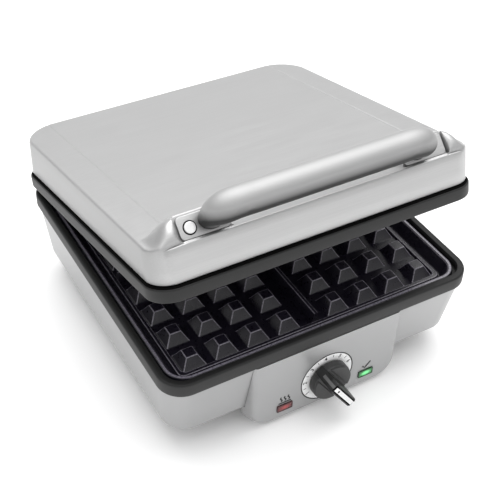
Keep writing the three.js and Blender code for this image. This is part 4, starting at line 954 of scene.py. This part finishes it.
waves = []
for k in (-1, 0, 1):
    waves.append(ribbon([(k * 4.0 + 0.9 * math.sin(t * 0.9), -2.4 + t * 0.85) for t in range(8)], 1.5))
plate_line = ribbon([(-6.6, -4.2), (6.6, -4.2)], 1.4)
over_red = Matrix.Translation((-LENS_X, 10.6 + LENS_Z - DIAL_Z, 0))
piece("heating_sign", *moved(joined(*waves, plate_line), over_red), PRINT, "base", "black_plastic", (),
      ON_DIAL, 20)
tick = ribbon([(-4.2, 0.2), (-1.4, -2.8), (4.6, 3.8)], 2.0)
over_green = Matrix.Translation((LENS_X, 9.8 + LENS_Z - DIAL_Z, 0))
piece("ready_sign", *moved(tick, over_green), PRINT, "base", "black_plastic", (), ON_DIAL, 20)

# ---- knob ----
KNOB_R, KNOB_FACE, BLADE_HALF = 19.8, 9.2, 20.5
disc = [(0, 0.9), (KNOB_R - 0.5, 0.9), (KNOB_R, 1.3), (KNOB_R, KNOB_FACE - 1.5)]
disc += arc(KNOB_R - 1.4, KNOB_FACE - 1.4, 1.4, 15, 90, 5)
disc += [(KNOB_R - 2.4, KNOB_FACE), (0, KNOB_FACE)]
TURNED = Matrix.Rotation(math.radians(124.5), 4, "Z")


def blade_mesh(points, half, edge_r=0.7):
    """A plate standing on its long edge, with its outline in (length, height) and softened rims."""
    cx = sum(p[0] for p in points) / len(points)
    cy = sum(p[1] for p in points) / len(points)
    levels = []
    for v, inset in ((-half, edge_r), (-half + edge_r * 0.3, edge_r * 0.3), (-half + edge_r, 0),
                     (half - edge_r, 0), (half - edge_r * 0.3, edge_r * 0.3), (half, edge_r)):
        ring = []
        for a, b in points:
            da, db = a - cx, b - cy
            ring.append((cx + da * (1 - inset / max(abs(da), 6)), v, cy + db * (1 - inset / max(abs(db), 6))))
        levels.append(ring)
    return rings(levels, caps=(True, True))


blade_outline = soft_profile(
    [(-BLADE_HALF, 1.5), (BLADE_HALF, 1.5), (BLADE_HALF, 20.0), (18.6, 28.0), (-18.6, 28.0),
     (-BLADE_HALF, 20.0)],
    [0, 0, 2.5, 1.2, 1.2, 2.5], 5)


def pad(sign):
    """A raised half-moon beside the blade, leaving a finger groove between them."""
    chord, r = 7.8, KNOB_R - 0.6
    a0 = math.degrees(math.asin(chord / r))
    points = soft_profile(arc(0, 0, r, a0, 180 - a0, 24), [1.4] + [0] * 23 + [1.4], 4)
    levels = []
    for rise, k in ((-1, 1.0), (1.0, 1.0), (1.3, 0.97), (1.4, 0.92)):
        levels.append([(x * k, sign * ((y - 12) * k + 12), KNOB_FACE + rise) for x, y in points])
    return rings(levels, caps=(True, True))


body = joined(lathe(disc, 96), moved(pad(1), TURNED), moved(pad(-1), TURNED))
blade = blade_mesh(blade_outline, 4.8)
# painted light: a lighter grey strip on the blade's end stands in for the lit end face
lit_end_strip = blade_mesh([(BLADE_HALF - 1.5, 11), (BLADE_HALF + 0.35, 11), (BLADE_HALF + 0.35, 19.6),
                          (19.0, 26.6), (BLADE_HALF - 3.5, 26.6)], 1.5, 0.3)
strip = blade_mesh([(-18.4, 26.9), (18.4, 26.9), (18.2, 28.28), (-18.2, 28.28)], 2.1, 0.3)
inlay = blade_mesh([(-18.9, 26.8), (18.9, 26.8), (18.7, 28.12), (-18.7, 28.12)], 3.5, 0.3)
dot = moved(lathe([(1.25, 28.2), (1.25, 28.34)], 24), Matrix.Translation((11.5, 0, 0)))
piece("knob_body", *body, KNOB_GREY, "knob", "black_plastic", ["knob"], ON_DIAL, 40)
for name, mesh, finish, slot, nodes, angle in (
        ("knob_blade", blade, BLADE, "black_plastic", (), 40),
        ("knob_end_lit_strip", lit_end_strip, KNOB_END_LIGHT, "black_plastic", (), 40),
        ("knob_bright_strip", strip, BRIGHT, "bright_metal", ["knob_insert"], 40),
        ("knob_inlay", inlay, SHADOW_BLACK, "black_plastic", (), 40),
        ("knob_dot", dot, PRINT, "black_plastic", (), 20)):
    piece(name, *moved(mesh, TURNED), finish, "knob", slot, nodes, ON_DIAL, angle)

# ---- lower release button, feet, inlet ----
ASIDE = BASE @ Matrix.Translation((0, RELEASE_Y, RELEASE_Z)) @ Matrix.Rotation(math.pi / 2, 4, "Y")
low_cap = [(2, 138.5), (2, 150.7), (6.9, 150.7)]
low_cap += arc(6.2, 155.8, 0.7, 0, 90, 5)
low_cap += [(4.4, 156.35), (2.0, 156.2), (0, 156.15)]
piece("lower_button_cap", *lathe(low_cap), BUTTON, "lower_release", "bright_metal",
      ["lower_release_button"], ASIDE)

foot = [(0, 0), (9.2, 0), (10.2, 0.3), (11.0, 1.0), (11.4, 2.0), (12, 8.5), (4, 8.7), (4, 11.7), (5.4, 11.7),
        (4.4, 13.8), (0, 13.8)]
for sx, side in ((-1, "left"), (1, "right")):
    for sy, end in ((-1, "front"), (1, "rear")):
        under_corner = Matrix.Translation((sx * FOOT_X, sy * FOOT_Y, 0))
        piece(f"rubber_{end}_{side}", *moved(lathe(foot, 40), under_corner), RUBBER, "base", "rubber",
              [f"foot_{end}_{side}"])
collar_profile = [(3.4, -9), (7.9, -9), (7.9, 0), (11, 0)]
collar_profile += arc(10.2, 1.9, 0.8, 0, 88, 4)
collar_profile += [(9.2, 3.1), (8.6, 3.4), (4.4, 3.4), (3.4, 2.6)]
piece("cord_entry", *ring_mesh(collar_profile, 48), BLACK, "base", "black_plastic", ["cord_inlet"],
      BASE @ Matrix.Translation((INLET_X, 154.2, INLET_Z)) @ Matrix.Rotation(-math.pi / 2, 4, "X"))

# ---- finishes on the CAD nodes that stay ----
FINISH = {
    "aluminised_sheet": SHEET, "heater_sheath": SHEATH, "porcelain": PORCELAIN, "circuit_board": BOARD,
    "lamp_glass": LAMP, "steel": STEEL, "black_plastic": BLACK, "bright_metal": BRIGHT, "rubber": RUBBER,
    "silver_paint": SILVER, "stainless": STAINLESS, "trim_plastic": TRIM, "nonstick": COATING,
    "grip_metal": GRIP_FINISH, "dial_face": DIAL, "red_lens": RED, "green_lens": GREEN,
}
for part in frame["record"]["subparts"]:
    o = frame["nodes"][part["node"]]
    finish = FINISH[part["material_slot"]]
    if o.data.materials:
        for i in range(len(o.data.materials)):
            o.data.materials[i] = finish
    else:
        o.data.materials.append(finish)

# ---- studio ----
FLOOR_HALF = 15  # metres
floor_mesh = raw_mesh("floor", [(-FLOOR_HALF, -FLOOR_HALF, 0), (FLOOR_HALF, -FLOOR_HALF, 0),
                                (FLOOR_HALF, FLOOR_HALF, 0), (-FLOOR_HALF, FLOOR_HALF, 0)], [(0, 1, 2, 3)])
pale = surface("pale_floor", grey(0.94), grey(0.96), (0.75, 0.85), scale=30, bump=0.0)
paper = pale.node_tree.nodes["Principled BSDF"]
paper.inputs["Emission Color"].default_value = (1, 1, 1, 1)
paper.inputs["Emission Strength"].default_value = 0.1
floor_mesh.materials.append(pale)
floor = linked("floor", floor_mesh)

world = bpy.data.worlds.new("studio")
bpy.context.scene.world = world
world.use_nodes = True
wn = world.node_tree
sky = node(wn, "ShaderNodeTexCoord")
axes = node(wn, "ShaderNodeSeparateXYZ")
wn.links.new(sky.outputs["Generated"], axes.inputs["Vector"])
dome = node(wn, "ShaderNodeValToRGB")
dome.color_ramp.elements[0].position = 0.42
dome.color_ramp.elements[0].color = (0.16, 0.16, 0.165, 1)
dome.color_ramp.elements[1].position = 0.95
dome.color_ramp.elements[1].color = (1.3, 1.3, 1.3, 1)
band = dome.color_ramp.elements.new(0.60)
band.color = (0.52, 0.52, 0.525, 1)
height = remap(wn, axes.outputs["Z"], 0, 1, -1, 1)
wn.links.new(height, dome.inputs["Fac"])
wn.links.new(dome.outputs["Color"], wn.nodes["Background"].inputs["Color"])
wn.nodes["Background"].inputs["Strength"].default_value = 1.0


def area(name, at, aim, size, power):
    light = bpy.data.lights.new(name, "AREA")
    light.shape = "RECTANGLE"
    light.size, light.size_y = size
    light.energy = power
    o = linked(name, light)
    o.location = at
    o.rotation_euler = (Vector(aim) - Vector(at)).to_track_quat("-Z", "Y").to_euler()


area("key", (0.45, 0.65, 2.1), (0, 0, 0.1), (2.6, 2.4), 42)
area("front_fill", (0.3, -2.2, 0.8), (0, 0, 0.05), (1.4, 0.9), 1.0)

# ---- camera, in metres ----
CAMERA_AT = Vector((-0.3919, -0.6622 + SHIFT * 0.001, 0.7300))
yaw, pitch, roll = math.radians(31.216), math.radians(40.782), math.radians(2.226)
forward = Vector((math.sin(yaw) * math.cos(pitch), math.cos(yaw) * math.cos(pitch), -math.sin(pitch)))
right = forward.cross(Vector((0, 0, 1))).normalized()
up = right.cross(forward)
rolled_right = math.cos(roll) * right + math.sin(roll) * up
rolled_up = -math.sin(roll) * right + math.cos(roll) * up
cam_data = bpy.data.cameras.new("camera")
cam_data.sensor_width = 36
cam_data.lens = 73.3032
cam = linked("camera", cam_data)
turn = Matrix((rolled_right, rolled_up, -forward)).transposed().to_4x4()
cam.matrix_world = Matrix.Translation(CAMERA_AT) @ turn
bpy.context.scene.camera = cam
bpy.context.scene.view_settings.view_transform = "Standard"
